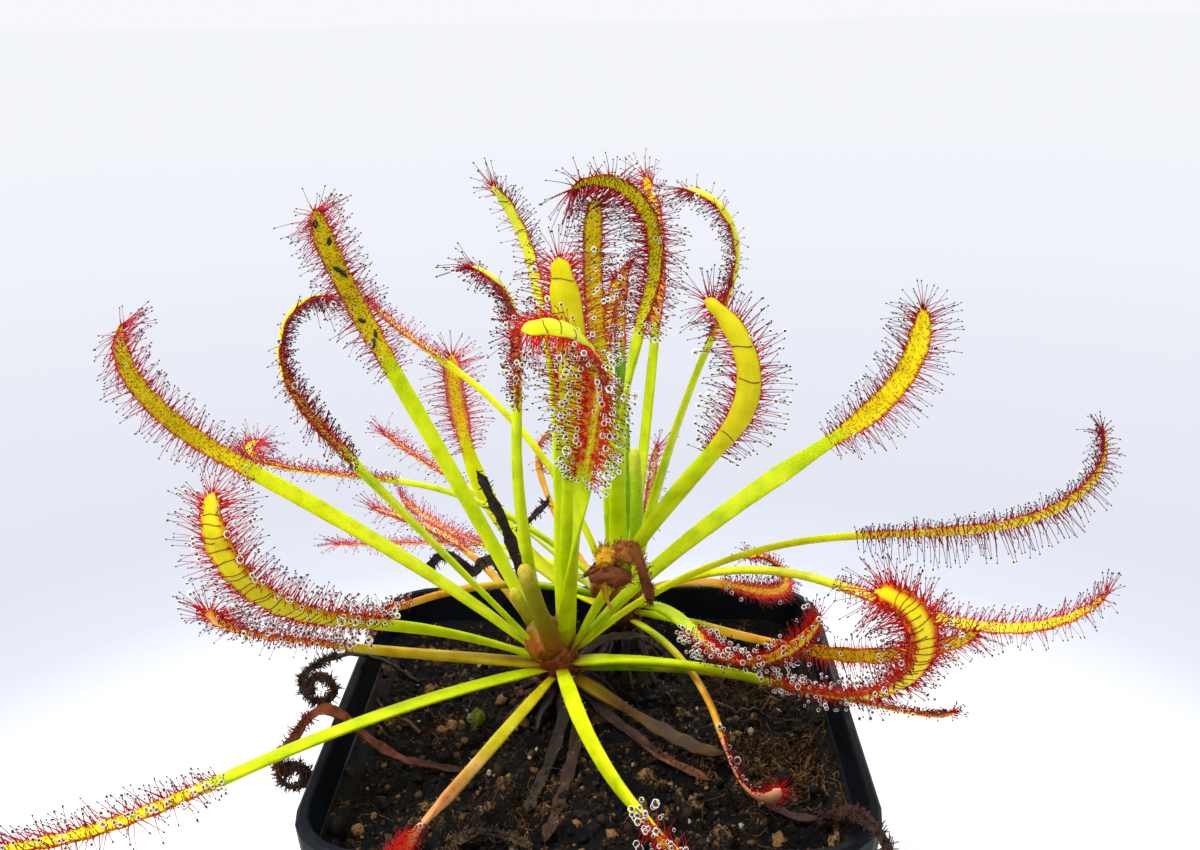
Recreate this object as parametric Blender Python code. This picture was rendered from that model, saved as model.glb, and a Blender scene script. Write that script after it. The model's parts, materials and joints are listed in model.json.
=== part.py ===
"""Cape sundew growing in a square nursery pot, as separate solids.

Units are metres and +Z is up. The origin is the centre of the pot's underside and the front faces -Y.
Lengths in the tables are millimetres and angles are degrees, because that is how the plant was measured.
Each leaf is one solid: a narrow stalk that ends in a wider blade. Its line is walked step by step from its
seat on the crown, so a leaf is described by how it sets out and how it bends on the way.
"""

import math
from collections import namedtuple

import bmesh
import bpy
from mathutils import Matrix, Vector, noise

MM = 0.001
GAP = 0.3  # free space between touching pieces

# Pot: half widths of the square and heights
POT_HEIGHT = 80.0
RIM_HALF = 45.0
BODY_TOP_HALF = 42.0
BASE_HALF = 32.0
RIM_CORNER = 12.0
BASE_CORNER = 9.0
WALL = 1.2
FLOOR = 1.4
LIP = 1.7
LEDGE_Z = 72.4
CORNER_STEPS = 5
DRAIN_RADIUS = 4.5
DRAIN_OFFSET = 19.0
CUTTER_SIDES = 16

# Soil
SOIL_TOP = 70.0
SOIL_MOUND = 1.4
SOIL_ROUGHNESS = 1.1
SOIL_RINGS = 8
SOIL_SHOULDER = 4.0  # the peat's side stops this far below the ledge

# Crown stems: x, y of the axis, height of the lowest seat, height of the top
STEM_RADIUS = 2.1
STEM_FOOT = 60.0
STEM_SIDES = 10
SOCKET_FIT = 0.4  # a stem is up to this much wider than its radius where it is knobbly
Crown = namedtuple("Crown", "x y first_seat top")
CROWNS = {
    "front": Crown(-6.3, 10.0, 79.5, 87.5),
    "rear": Crown(5.2, 24.0, 84.0, 92.0),
}
SEAT_STEP = 0.36  # each leaf sits this much higher than the one listed before it

# Leaf sections: the face is the side that carries the tentacles, the keel is the back
WALK_STEPS = 50
STALK_RINGS_AT = (0.04, 0.2, 0.4, 0.6, 0.8, 1.0)
BLADE_RINGS_AT = (0.12, 0.24, 0.36, 0.46, 0.56, 0.66, 0.76, 0.84, 0.92, 0.98)
STALK_FACE, STALK_KEEL = 0.35, 0.8  # how far the two sides stand out from the middle of a leaf
BLADE_FACE, BLADE_KEEL = 0.2, 0.5
STALK_WIDTH, STALK_WIDTH_SHARE = 2.0, 0.35  # a stalk's width is the first plus a share of the blade's
SLIM_STALKS = {  # stalks that are narrower than that
    "leaf_front_dying": 2.1, "leaf_front_centre": 2.6, "leaf_withering_right": 2.4, "leaf_right_upper": 2.7,
    "leaf_right_hook": 2.1, "leaf_right_long": 2.4, "leaf_right_pale": 1.7, "leaf_right_low_small": 1.4,
    "leaf_behind_arch": 2.5, "leaf_left_orange": 1.3, "leaf_left_level": 1.4, "leaf_rear_pink_a": 1.8,
    "leaf_rear_pink_b": 1.9, "leaf_rear_pink_c": 1.7, "leaf_rear_pink_d": 1.7, "leaf_rear_left_thin": 2.0,
    "leaf_left_yellow": 2.4, "leaf_front_orange": 1.7, "leaf_left_hook": 2.7, "leaf_rear_small": 1.4,
    "leaf_right_orange": 2.0,
}
SPIN_EASE = 1.6  # most of a stalk's spin comes near its blade
STALK_FOOT_SHARE = 0.5  # at its foot a stalk is this much of its full width
FOOT_THICKNESS = 0.6  # and this much of its full thickness
FOOT_REACH = 0.3  # the foot takes up this much of a stalk
TIP_REACH = 0.2  # the blade widens over this share of its length, and narrows over the same share
TIP_WIDTH, TIP_THICKNESS = 0.5, 0.6  # shares left at the very tip

# A leaf sets out from its seat at a heading (0 is +X, 90 is +Y) and a rise above level, keel down.
# Over its stalk it sinks by arch and rolls by roll; over its blade it curls towards its face by curl, turns
# to its right by turn and twists by twist. Ease above 1 keeps the bend for the end of the blade.
# Spin and tip_spin turn the section about the leaf's own line, where the blade starts and at its tip.
Leaf = namedtuple("Leaf", "name tone width heading rise stalk arch roll blade curl turn ease twist spin "
                          "tip_spin", defaults=(1.5, 0, 0, 0))

FRONT_LEAVES = (
    Leaf("leaf_withering_right", "khaki", 4.6, -34, -14, 15, 1, 9, 21, 38, 34),
    Leaf("leaf_front_dying", "amber", 4.2, -109, 4, 54, 4, 79, 12, 22, 17),
    Leaf("leaf_right_low_small", "salmon", 1.9, -13.5, 10.5, 53, 19, 21, 19, 29, 76),
    Leaf("leaf_rear_pink_b", "pale", 4.4, 122, 28, 38, 27, -20, 24, 7, -79),
    Leaf("leaf_front_left_long", "lime", 4.2, -139, 11, 67, 14, -9, 30, 20, 8),
    Leaf("leaf_front_centre", "lime", 4.2, -81, 14, 53, 32, -106, 23, 6, -38),
    Leaf("leaf_left_yellow", "amber", 4.0, -157, 17, 40, -1, -29, 27, 22, -77, 2.6),
    Leaf("leaf_right_folded", "lime", 5.2, -23, 17, 42, 21, 94, 44, 51, 158, 2, -53, -55, -12),
    Leaf("leaf_left_low", "lime", 4.7, -152, 34, 37, 16, -68, 40, 63, -67, 2, 0, 20, 5),
    Leaf("leaf_left_far", "lime", 3.9, -168, 46, 65, 14, 46, 37, 89, 11),
    Leaf("leaf_right_hook", "lime", 3.4, 8, 44, 60, 44, 63, 51, 98, 12, 2.8, 0, -16, 0),
    Leaf("leaf_left_hook", "lime", 3.8, -149, 53, 58, 0, 4, 33, 141, 19, 2.6, 0, 28, 15),
    Leaf("leaf_right_upper", "lime", 4.0, -5, 54, 64, 30, -75, 27, 24, -60),
    Leaf("leaf_centre_right", "lime", 4.6, -25, 65, 54, 17, 60, 29, 18, 102, 1.5, 35),
    Leaf("leaf_centre_left", "lime", 4.0, -117, 66, 56, -23, 34, 24, -65, -26, 2.2, 37, -169, -215),
    Leaf("leaf_left_upper", "lime", 4.2, 163, 63, 60, 4, 32, 32, 64, -20),
    Leaf("leaf_centre_hook", "lime", 4.6, -69, 77, 41, 9, -41, 41, 12, 102, 2.6, 35, -100, -80),
    Leaf("leaf_centre_front", "lime", 5.0, -38, 94, 46, 28, 83, 31, 10, 19, 1.5, 0, -25, -30),
    Leaf("leaf_top_left", "lime", 4.4, 74, 88, 64, 20, -128, 20, -33, -9),
)
REAR_LEAVES = (
    Leaf("leaf_front_orange", "salmon", 2.8, -58, 11, 39, 41, 59, 24, 62, 58, 1.5, -20),
    Leaf("leaf_rear_pink_c", "pale", 4.4, 128, 0, 50, 8, -16, 26, 63, -109),
    Leaf("leaf_rear_left_pale", "pale", 5.2, 155, 11, 47, -62, -15, 17, 5, 19, 1.5, 0, 60, 60),
    Leaf("leaf_rear_pink_d", "pale", 3.0, 144, 33, 44, 17, -26, 22, 4, 14),
    Leaf("leaf_right_pale", "amber", 3.8, -41, 12, 35, 20, -113, 33, -27, -23),
    Leaf("leaf_rear_pink_a", "pale", 4.4, 124, 2, 61, 21, -10, 42, 6, -141),
    Leaf("leaf_rear_small", "salmon", 2.8, 127, 17, 37, -32, -64, 9, 115, -25),
    Leaf("leaf_right_dewy", "lime", 3.8, -63, 35, 29, 42, 9, 28, 96, -81, 1.5, 18, 0, 28),
    Leaf("leaf_rear_right_short", "pale", 4.6, 74, 31, 21, 11, -84, 16, 28, -92),
    Leaf("leaf_right_long", "lime", 3.8, -15, 38, 43, 54, 7, 48, 72, 26, 2, 0, -15, -10),
    Leaf("leaf_left_orange", "amber", 3.6, -161, 29, 42, 41, -15, 18, 34, -10),
    Leaf("leaf_right_orange", "salmon", 3.2, 11, 20, 21, 49, -44, 33, -54, -225, 2.6, 24),
    Leaf("leaf_left_level", "lime", 3.2, 164, 46, 51, 44, -21, 43, 26, 105, 3, 4),
    Leaf("leaf_inner_rear", "lime", 4.4, 87, 68, 47, 7, -61, 18, 45, -46),
    Leaf("leaf_rear_left_thin", "lime", 3.8, 154, 73, 58, 44, -22, 16, 16, -16),
    Leaf("leaf_behind_arch", "lime", 4.4, 61, 75, 51, -2, 62, 28, 22, -4, 1.5, 0, -40, -40),
    Leaf("leaf_top_right", "lime", 4.0, -43, 77, 60, 12, -31, 27, 106, -11, 2, -11),
    Leaf("leaf_top_arch", "lime", 4.2, -100, 90, 59, 28, -96, 36, 114, -59, 2, -88, -45, 0),
    Leaf("leaf_inner_orange", "amber", 4.0, 104, 75, 45, 15, 72, 15, 9, 64),
    Leaf("leaf_centre_upright", "lime", 3.8, 128, 92, 46, 14, 16, 28, 33, 2),
)

# Young leaves stand stiffly in the middle of a crown: foot, heading, rise, length, width, curl of the tip
Shoot = namedtuple("Shoot", "name foot heading rise length width curl")
SHOOT_FACE, SHOOT_KEEL = 0.9, 1.0
SHOOT_RINGS_AT = (0.04, 0.2, 0.4, 0.6, 0.8, 0.94)
SHOOT_EASE = 2
SHOOTS = (
    Shoot("young_leaf_tall", (7.9, 23.6, 89.4), -8, 88, 29, 2.8, 6),
    Shoot("young_leaf_rolled", (-7.0, 3.8, 87.8), 237, 66, 20.6, 2.7, 4),
    Shoot("young_leaf_small", (-9.5, 9.0, 87.3), 180, 60, 10.8, 1.7, 8),
)

# Dead leaves lie where they fell. Each is a strip through hand-placed points; coil is the radius of the
# rolled end, turns how often it goes round.
Dry = namedtuple("Dry", "name width points coil turns", defaults=(0, 0))
DRY_LEAVES = (
    Dry("dead_left_red", 2.4, ((-21, -11.6, 71.6), (-28, -9.6, 72), (-34.5, -8.2, 72.8), (-40, -8, 77.5),
                               (-42.6, -10, 82), (-45.8, -10.2, 83.4), (-48.8, -10.8, 81.6),
                               (-51, -11.4, 78.4), (-53.6, -11.8, 75), (-54, -11.8, 72.4)), 2.8, 1.1),
    Dry("dead_left_black", 1.8, ((-33, 17, 72), (-39, 14.5, 78.5), (-44.6, 12, 82), (-49, 9, 82.6),
                                 (-52.8, 5.6, 81.4), (-53.2, 5.2, 79.4)), 3.2, 1.2),
    Dry("dead_front_strip_left", 2.2, ((-5, 5.5, 77.4), (-5.4, -1.4, 75.6), (-7.5, -11.3, 73),
                                       (-9.5, -17.8, 71.6), (-10.4, -22.5, 71.4))),
    Dry("dead_front_strip_right", 2.4, ((-2.6, 5.8, 77), (-2.9, -6, 74), (-4.6, -16.2, 72), (-6, -24.2, 71.4),
                                        (-7.1, -30.1, 71.2))),
    Dry("dead_front_lying", 2.0, ((-22.4, -30.1, 71.2), (-18, -28.6, 72), (-14, -28.6, 71.4),
                                  (-11.1, -30.1, 71.4), (-9, -31.6, 71.6))),
    Dry("dead_right_arch", 2.2, ((-2.4, 15, 78), (1.1, 16.6, 81.6), (5.9, 17.4, 82.6), (11.2, 17.5, 81),
                                 (15.3, 15.1, 77.4), (18.1, 12.6, 71.4))),
    Dry("dead_right_strip", 2.4, ((-3.2, 8.4, 77), (1.6, 3.4, 75), (9, -4.5, 73), (14, -9.8, 72.4),
                                  (20, -14.3, 71.8))),
    Dry("dead_front_right", 2.0, ((28, -20, 71.2), (35, -25, 71.8), (39.2, -29.6, 76), (40.6, -38, 81.8),
                                  (42.6, -43.6, 82.6), (44, -47, 80.6))),
    Dry("dead_stalk_tall", 3.0, ((-8, 14.6, 82), (-12, 18.4, 90), (-15, 21.4, 98.4), (-18.4, 24.6, 105.6),
                                 (-22.2, 28, 112.8))),
    Dry("dead_rear_left", 2.6, ((-9.6, 18.4, 85), (-15.4, 21.4, 91.4), (-19.6, 22, 96.5), (-23.2, 22, 94),
                                (-26.5, 22, 96.5), (-28.5, 22, 97.6), (-31.2, 22, 95.3), (-30.4, 22, 92.3))),
    Dry("dead_stalk_short", 2.2, ((-15.2, 24.4, 101.2), (-12, 25, 103.6), (-8, 25.6, 107.6))),
    Dry("dead_rear_fold", 3.0, ((3.9, 1, 96), (2.2, 0.4, 101.2), (2.9, 0.4, 106), (5.1, 0.4, 108.7),
                                (7.9, 0.4, 108), (9.7, 0.4, 102.5), (10.7, 0.4, 97.1))),
)
DRY_FACE, DRY_KEEL = 0.3, 0.45
DRY_RINGS = 16
DRY_FOOT_WIDTH, DRY_FOOT_REACH, DRY_TAPER = 0.7, 0.2, 0.35
ROUTE_STEPS = 20  # fine steps between two hand-placed points
COIL_STEPS = 10  # points on one turn
COIL_TIGHTENS = 0.5  # share of the radius lost by the end of the roll
COIL_DRIFT = 0.35  # how far the roll moves sideways

TONES = {
    "lime": ((0.50, 0.68, 0.02), 0.42),
    "pale": ((0.78, 0.62, 0.22), 0.5),
    "amber": ((0.72, 0.50, 0.03), 0.5),
    "salmon": ((0.78, 0.28, 0.10), 0.5),
    "khaki": ((0.28, 0.24, 0.05), 0.6),
    "dry": ((0.10, 0.05, 0.03), 0.85),
    "crown": ((0.22, 0.08, 0.02), 0.8),
    "peat": ((0.02, 0.014, 0.01), 0.95),
    "pot": ((0.012, 0.013, 0.015), 0.35),
}


def clear_scene():
    for thing in list(bpy.data.objects):
        bpy.data.objects.remove(thing)


def material_for(name, tone):
    colour, roughness = TONES[tone]
    material = bpy.data.materials.new(name)
    material.use_nodes = True
    shader = material.node_tree.nodes["Principled BSDF"]
    shader.inputs["Base Color"].default_value = (*colour, 1)
    shader.inputs["Roughness"].default_value = roughness
    shader.inputs["Metallic"].default_value = 0
    return material


def add_object(name, shape, tone, smooth=True):
    """Turn a bmesh in millimetres into an object in metres with its own material."""
    bmesh.ops.recalc_face_normals(shape, faces=shape.faces)
    bmesh.ops.scale(shape, vec=(MM, MM, MM), verts=shape.verts)
    mesh = bpy.data.meshes.new(name)
    shape.to_mesh(mesh)
    shape.free()
    if smooth:
        mesh.shade_smooth()
        mesh.set_sharp_from_angle(angle=math.radians(50))
    thing = bpy.data.objects.new(name, mesh)
    thing.data.materials.append(material_for(name, tone))
    bpy.context.scene.collection.objects.link(thing)
    return thing


def loft(shape, rings, start=None, end=None):
    """Skin rings of equal length; a missing end point leaves a flat cap instead of a point."""
    loops = [[shape.verts.new(point) for point in ring] for ring in rings]
    for lower, upper in zip(loops, loops[1:]):
        for i in range(len(lower)):
            j = (i + 1) % len(lower)
            shape.faces.new((lower[i], lower[j], upper[j], upper[i]))
    for loop, tip in ((loops[0], start), (loops[-1], end)):
        if tip is None:
            shape.faces.new(loop)
            continue
        apex = shape.verts.new(tip)
        for i in range(len(loop)):
            shape.faces.new((loop[i], loop[(i + 1) % len(loop)], apex))


# --- pot and soil ---------------------------------------------------------------------------------

def rounded_square(half, corner, z):
    """Points of a square with round corners, anticlockwise."""
    points = []
    for quarter in range(4):
        centre = Vector((half - corner, half - corner, z))
        for step in range(CORNER_STEPS + 1):
            angle = math.pi / 2 * step / CORNER_STEPS
            offset = Vector((math.cos(angle), math.sin(angle), 0)) * corner
            points.append(Matrix.Rotation(quarter * math.pi / 2, 3, "Z") @ (centre + offset))
    return points


def body_half(z):
    """Half width of the outside of the tapered body at a height."""
    return BASE_HALF + (BODY_TOP_HALF - BASE_HALF) * z / LEDGE_Z


def corner_for(half):
    return BASE_CORNER + (RIM_CORNER - BASE_CORNER) * (half - BASE_HALF) / (RIM_HALF - BASE_HALF)


def pot_profile():
    """Half width and height, up the outside, over the rim and down the inside."""
    return (
        (BASE_HALF - 1.0, 0.0),
        (body_half(1.0), 1.0),
        (body_half(LEDGE_Z - 1.4), LEDGE_Z - 1.4),
        (RIM_HALF - 0.9, LEDGE_Z - 0.6),
        (RIM_HALF - 0.6, LEDGE_Z),
        (RIM_HALF, POT_HEIGHT - 0.5),
        (RIM_HALF - 0.5, POT_HEIGHT),
        (RIM_HALF - LIP + 0.3, POT_HEIGHT),
        (RIM_HALF - LIP, POT_HEIGHT - 0.4),
        (RIM_HALF - LIP - 0.6, LEDGE_Z + 0.6),
        (body_half(LEDGE_Z) - WALL + 0.3, LEDGE_Z),
        (body_half(LEDGE_Z - 1.0) - WALL, LEDGE_Z - 1.0),
        (body_half(FLOOR + 0.6) - WALL, FLOOR + 0.6),
        (body_half(FLOOR) - WALL - 0.6, FLOOR),
    )


def hidden_cutter(name, radius, bottom, top, x, y):
    shape = bmesh.new()
    bmesh.ops.create_cone(shape, cap_ends=True, segments=CUTTER_SIDES, radius1=radius, radius2=radius,
                          depth=top - bottom)
    bmesh.ops.translate(shape, verts=shape.verts, vec=(x, y, (top + bottom) / 2))
    cutter = add_object(name, shape, "peat")
    cutter.hide_render = True
    cutter.display_type = "WIRE"
    return cutter


def cut(thing, cutter):
    hole = thing.modifiers.new(cutter.name, "BOOLEAN")
    hole.operation = "DIFFERENCE"
    hole.solver = "EXACT"
    hole.object = cutter


def build_pot():
    shape = bmesh.new()
    loft(shape, [rounded_square(half, corner_for(half), z) for half, z in pot_profile()])
    pot = add_object("pot", shape, "pot")
    for index, (sx, sy) in enumerate(((1, 1), (-1, 1), (-1, -1), (1, -1))):
        cut(pot, hidden_cutter(f"drain_cutter_{index}", DRAIN_RADIUS, -2, FLOOR + 2,
                               sx * DRAIN_OFFSET, sy * DRAIN_OFFSET))
    return pot


def soil_height(x, y, half):
    """Height of the peat: a low mound in the middle, crumbs everywhere, calmer at the wall."""
    reach = min(1.0, math.hypot(x, y) / half)
    crumbs = noise.noise(Vector((x, y, 0)) * 0.16) + 0.5 * noise.noise(Vector((x, y, 9)) * 0.45)
    return SOIL_TOP + SOIL_MOUND * (1 - reach ** 2) + SOIL_ROUGHNESS * crumbs * (1 - 0.5 * reach)


def build_soil():
    rings = []
    for z in (FLOOR + 0.6 + GAP, LEDGE_Z - SOIL_SHOULDER):
        half = body_half(z) - WALL - GAP - 0.1
        rings.append(rounded_square(half, corner_for(half), z))
    half = body_half(SOIL_TOP) - WALL - GAP - 0.3
    for index in range(SOIL_RINGS):
        scale = 1 - index / SOIL_RINGS
        ring = rounded_square(half * scale, corner_for(half) * scale, 0)
        rings.append([Vector((p.x, p.y, soil_height(p.x, p.y, half))) for p in ring])
    shape = bmesh.new()
    loft(shape, rings, end=Vector((0, 0, soil_height(0, 0, half))))
    soil = add_object("soil", shape, "peat")
    for name, crown in CROWNS.items():
        cut(soil, hidden_cutter(f"{name}_socket_cutter", STEM_RADIUS + SOCKET_FIT + GAP, STEM_FOOT - GAP,
                                SOIL_TOP + 8, crown.x, crown.y))
    return soil


# --- plant ----------------------------------------------------------------------------------------

def build_crown(name, crown):
    """A short knobbly stem that stands in the peat; the leaves sit around its upper part."""
    profile = ((0.8, STEM_FOOT), (1.0, STEM_FOOT + 1.5), (1.15, SOIL_TOP), (1.0, crown.first_seat - 1),
               (0.97, crown.first_seat + 3), (1.0, crown.top - 2.2), (0.8, crown.top - 0.8))
    rings = []
    for factor, z in profile:
        ring = []
        for side in range(STEM_SIDES):
            angle = math.tau * side / STEM_SIDES
            radius = STEM_RADIUS * factor
            ring.append(Vector((crown.x + radius * math.cos(angle), crown.y + radius * math.sin(angle), z)))
        rings.append(ring)
    shape = bmesh.new()
    loft(shape, rings, end=Vector((crown.x, crown.y, crown.top)))
    return add_object(f"{name}_crown", shape, "crown")


def first_frame(heading, rise):
    """Columns are right, along and face of a leaf that sets out with its face up."""
    turned = Matrix.Rotation(math.radians(heading - 90), 3, "Z")
    return turned @ Matrix.Rotation(math.radians(rise), 3, "X")


def bend(frame, to_face, to_right, roll):
    tilt = Matrix.Rotation(math.radians(to_face), 3, "X")
    swing = Matrix.Rotation(math.radians(-to_right), 3, "Z")
    spin = Matrix.Rotation(math.radians(-roll), 3, "Y")
    return frame @ tilt @ swing @ spin


def walk(point, frame, length, to_face, to_right, roll, ease=1.0):
    """Stations (point, frame) along one part of a leaf, its bends spread by ease."""
    stations = [(point.copy(), frame.copy())]
    for step in range(WALK_STEPS):
        share = ((step + 1) / WALK_STEPS) ** ease - (step / WALK_STEPS) ** ease
        frame = bend(frame, to_face * share, to_right * share, roll / WALK_STEPS)
        point = point + frame.col[1] * (length / WALK_STEPS)
        stations.append((point, frame))
    return stations


def spun(station, angle):
    """The same station with its frame turned about the leaf's line."""
    point, frame = station
    return point, bend(frame, 0, 0, angle)


def section(station, width, face, keel):
    """Six points around a station: two edges, two on the face, two on the keel."""
    point, frame = station
    right, normal = frame.col[0], frame.col[2]
    outline = ((0.5, 0), (0.3, face), (-0.3, face), (-0.5, 0), (-0.2, -keel), (0.2, -keel))
    return [point + right * (width * across) + normal * height for across, height in outline]


def seat_of(crown, level, heading, rise):
    """Where a leaf leaves its crown: just off the bark, each one a little higher than the last."""
    lean = max(0.0, math.sin(math.radians(rise)))
    radius = STEM_RADIUS + GAP + STALK_FACE * lean
    angle = math.radians(heading)
    return Vector((crown.x + radius * math.cos(angle), crown.y + radius * math.sin(angle),
                   crown.first_seat + SEAT_STEP * level))


def ease_in(value):
    value = min(1.0, max(0.0, value))
    return value * value * (3 - 2 * value)


def mix(low, high, share):
    return low + (high - low) * ease_in(share)


def stalk_width(leaf, u):
    full = SLIM_STALKS.get(leaf.name, STALK_WIDTH + STALK_WIDTH_SHARE * leaf.width)
    return full * mix(STALK_FOOT_SHARE, 1, u / FOOT_REACH)


def blade_width(leaf, u):
    body = mix(stalk_width(leaf, 1), leaf.width, u / TIP_REACH)
    return body * mix(TIP_WIDTH, 1, (1 - u) / TIP_REACH)


def build_leaf(leaf, crown, level):
    seat = seat_of(crown, level, leaf.heading, leaf.rise)
    stalk = walk(seat, first_frame(leaf.heading, leaf.rise), leaf.stalk, -leaf.arch, 0, leaf.roll)
    blade = walk(*stalk[-1], leaf.blade, leaf.curl, leaf.turn, leaf.twist, leaf.ease)
    rings = []
    for u in STALK_RINGS_AT:
        thick = mix(FOOT_THICKNESS, 1, u / FOOT_REACH)
        station = spun(stalk[round(u * WALK_STEPS)], leaf.spin * u ** SPIN_EASE)
        rings.append(section(station, stalk_width(leaf, u), STALK_FACE * thick, STALK_KEEL * thick))
    for u in BLADE_RINGS_AT:
        thin = mix(TIP_THICKNESS, 1, (1 - u) / TIP_REACH)
        station = spun(blade[round(u * WALK_STEPS)], leaf.spin + (leaf.tip_spin - leaf.spin) * u)
        rings.append(section(station, blade_width(leaf, u), BLADE_FACE * thin, BLADE_KEEL * thin))
    tip_point, tip_frame = blade[-1]
    shape = bmesh.new()
    loft(shape, rings, start=seat, end=tip_point + tip_frame.col[1] * GAP)
    return add_object(leaf.name, shape, leaf.tone)


def build_shoot(shoot):
    seat = Vector(shoot.foot)
    line = walk(seat, first_frame(shoot.heading, shoot.rise), shoot.length, shoot.curl, 0, 0, SHOOT_EASE)
    rings = []
    for u in SHOOT_RINGS_AT:
        swell = mix(FOOT_THICKNESS, 1, u / FOOT_REACH)
        rings.append(section(line[round(u * WALK_STEPS)], shoot.width * swell, SHOOT_FACE * swell,
                             SHOOT_KEEL * swell))
    shape = bmesh.new()
    loft(shape, rings, start=seat, end=line[-1][0])
    return add_object(shoot.name, shape, "lime")


def smooth_route(points, count):
    """Evenly spaced points on a smooth curve through the given ones."""
    points = [Vector(p) for p in points]
    padded = [2 * points[0] - points[1]] + points + [2 * points[-1] - points[-2]]
    fine = []
    for a, b, c, d in zip(padded, padded[1:], padded[2:], padded[3:]):
        for step in range(ROUTE_STEPS):
            t = step / ROUTE_STEPS
            fine.append(0.5 * ((2 * b) + (c - a) * t + (2 * a - 5 * b + 4 * c - d) * t ** 2
                               + (3 * b - a - 3 * c + d) * t ** 3))
    fine.append(points[-1])
    lengths = [0.0]
    for here, there in zip(fine, fine[1:]):
        lengths.append(lengths[-1] + (there - here).length)
    route = []
    for index in range(count):
        target = lengths[-1] * index / (count - 1)
        k = next(i for i, length in enumerate(lengths) if length >= target - 1e-9)
        k = max(1, k)
        share = (target - lengths[k - 1]) / (lengths[k] - lengths[k - 1])
        route.append(fine[k - 1].lerp(fine[k], share))
    return route


def coil_points(end, before, dry):
    """A flat roll at the end of a dead leaf, in the plane that its last stretch hangs in."""
    along = (end - before).normalized()
    side = Vector((0, 0, 1)).cross(along)
    side = Vector((0, -1, 0)) if side.length < 0.2 else side.normalized()
    inward = side.cross(along).normalized()
    points = []
    steps = round(COIL_STEPS * dry.turns)
    for step in range(1, steps + 1):
        angle = math.tau * dry.turns * step / steps
        radius = dry.coil * (1 - COIL_TIGHTENS * step / steps)
        centre = end + inward * dry.coil
        drift = side * (COIL_DRIFT * step / steps)
        around = along * (radius * math.sin(angle)) - inward * (radius * math.cos(angle))
        points.append(centre + around + drift)
    return points


def build_dry_leaf(dry):
    line = smooth_route(dry.points, DRY_RINGS)
    if dry.turns:
        line = line + coil_points(line[-1], line[-2], dry)
    normal = Vector((0, 0, 1))
    rings = []
    for index in range(1, len(line) - 1):
        along = (line[index + 1] - line[index - 1]).normalized()
        right = along.cross(normal)
        right = Vector((0, 1, 0)) if right.length < 0.05 else right.normalized()
        normal = right.cross(along).normalized()
        frame = Matrix((right, along, normal)).transposed()
        share = index / (len(line) - 1)
        width = dry.width * (1 - DRY_TAPER * share) * mix(DRY_FOOT_WIDTH, 1, share / DRY_FOOT_REACH)
        rings.append(section((line[index], frame), width, DRY_FACE, DRY_KEEL))
    shape = bmesh.new()
    loft(shape, rings, start=line[0], end=line[-1])
    return add_object(dry.name, shape, "dry")


def build_plant():
    for name, crown in CROWNS.items():
        build_crown(name, crown)
    for crown, leaves in (("front", FRONT_LEAVES), ("rear", REAR_LEAVES)):
        for level, leaf in enumerate(leaves):
            build_leaf(leaf, CROWNS[crown], level)
    for shoot in SHOOTS:
        build_shoot(shoot)
    for dry in DRY_LEAVES:
        build_dry_leaf(dry)


def main():
    clear_scene()
    build_pot()
    build_soil()
    build_plant()


main()
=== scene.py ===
"""Looks of a potted Cape sundew: strap leaves with gland hairs and dew, crown, dead leaves, peat and pot."""

import json
import math
from collections import namedtuple

import bpy
import numpy as np
from mathutils import Matrix, Vector, noise
from mathutils.bvhtree import BVHTree


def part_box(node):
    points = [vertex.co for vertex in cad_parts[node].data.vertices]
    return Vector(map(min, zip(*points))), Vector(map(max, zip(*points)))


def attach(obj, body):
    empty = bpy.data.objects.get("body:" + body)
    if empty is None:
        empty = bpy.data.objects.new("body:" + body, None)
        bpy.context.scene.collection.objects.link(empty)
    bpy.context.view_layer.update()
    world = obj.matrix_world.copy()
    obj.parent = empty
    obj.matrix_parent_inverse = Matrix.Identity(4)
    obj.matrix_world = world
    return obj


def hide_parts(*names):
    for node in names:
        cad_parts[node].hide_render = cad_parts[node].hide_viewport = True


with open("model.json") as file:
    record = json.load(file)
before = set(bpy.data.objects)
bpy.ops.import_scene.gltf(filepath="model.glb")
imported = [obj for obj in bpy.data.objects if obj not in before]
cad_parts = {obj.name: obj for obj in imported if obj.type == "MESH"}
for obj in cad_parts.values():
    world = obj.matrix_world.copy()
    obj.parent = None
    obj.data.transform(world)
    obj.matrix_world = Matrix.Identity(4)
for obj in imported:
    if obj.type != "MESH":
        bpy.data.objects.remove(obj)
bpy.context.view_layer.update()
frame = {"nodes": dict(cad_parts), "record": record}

MM = 0.001
UP = np.array([0.0, 0.0, 1.0])
LEAF_SEED, DEAD_SEED, CROWN_SEED, CLUMP_SEED, LITTER_SEED, NOISE_SEED = 100, 300, 500, 640, 700, 7
noise.seed_set(NOISE_SEED)  # without a seed, noise_vector follows the clock
CAMERA_AT = (0.0066, -0.1997, 0.1977)
CAMERA_TILT, CAMERA_YAW, CAMERA_ROLL = (math.radians(a) for a in (18.514, -1.278, -0.963))
CAMERA_LENS = 38.15


def add_object(name, data):
    made = bpy.data.objects.new(name, data)
    bpy.context.scene.collection.objects.link(made)
    return made


def make_camera():
    data = bpy.data.cameras.new("camera")
    data.lens, data.sensor_width, data.sensor_fit = CAMERA_LENS, 36.0, "HORIZONTAL"
    data.clip_start, data.clip_end = 0.005, 50.0
    camera = add_object("camera", data)
    turns = ((-CAMERA_YAW, "Z"), (math.pi / 2 - CAMERA_TILT, "X"), (CAMERA_ROLL, "Z"))
    yaw, tilt, roll = (Matrix.Rotation(angle, 4, axis) for angle, axis in turns)
    camera.matrix_world = Matrix.Translation(CAMERA_AT) @ yaw @ tilt @ roll
    bpy.context.scene.camera = camera


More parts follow.
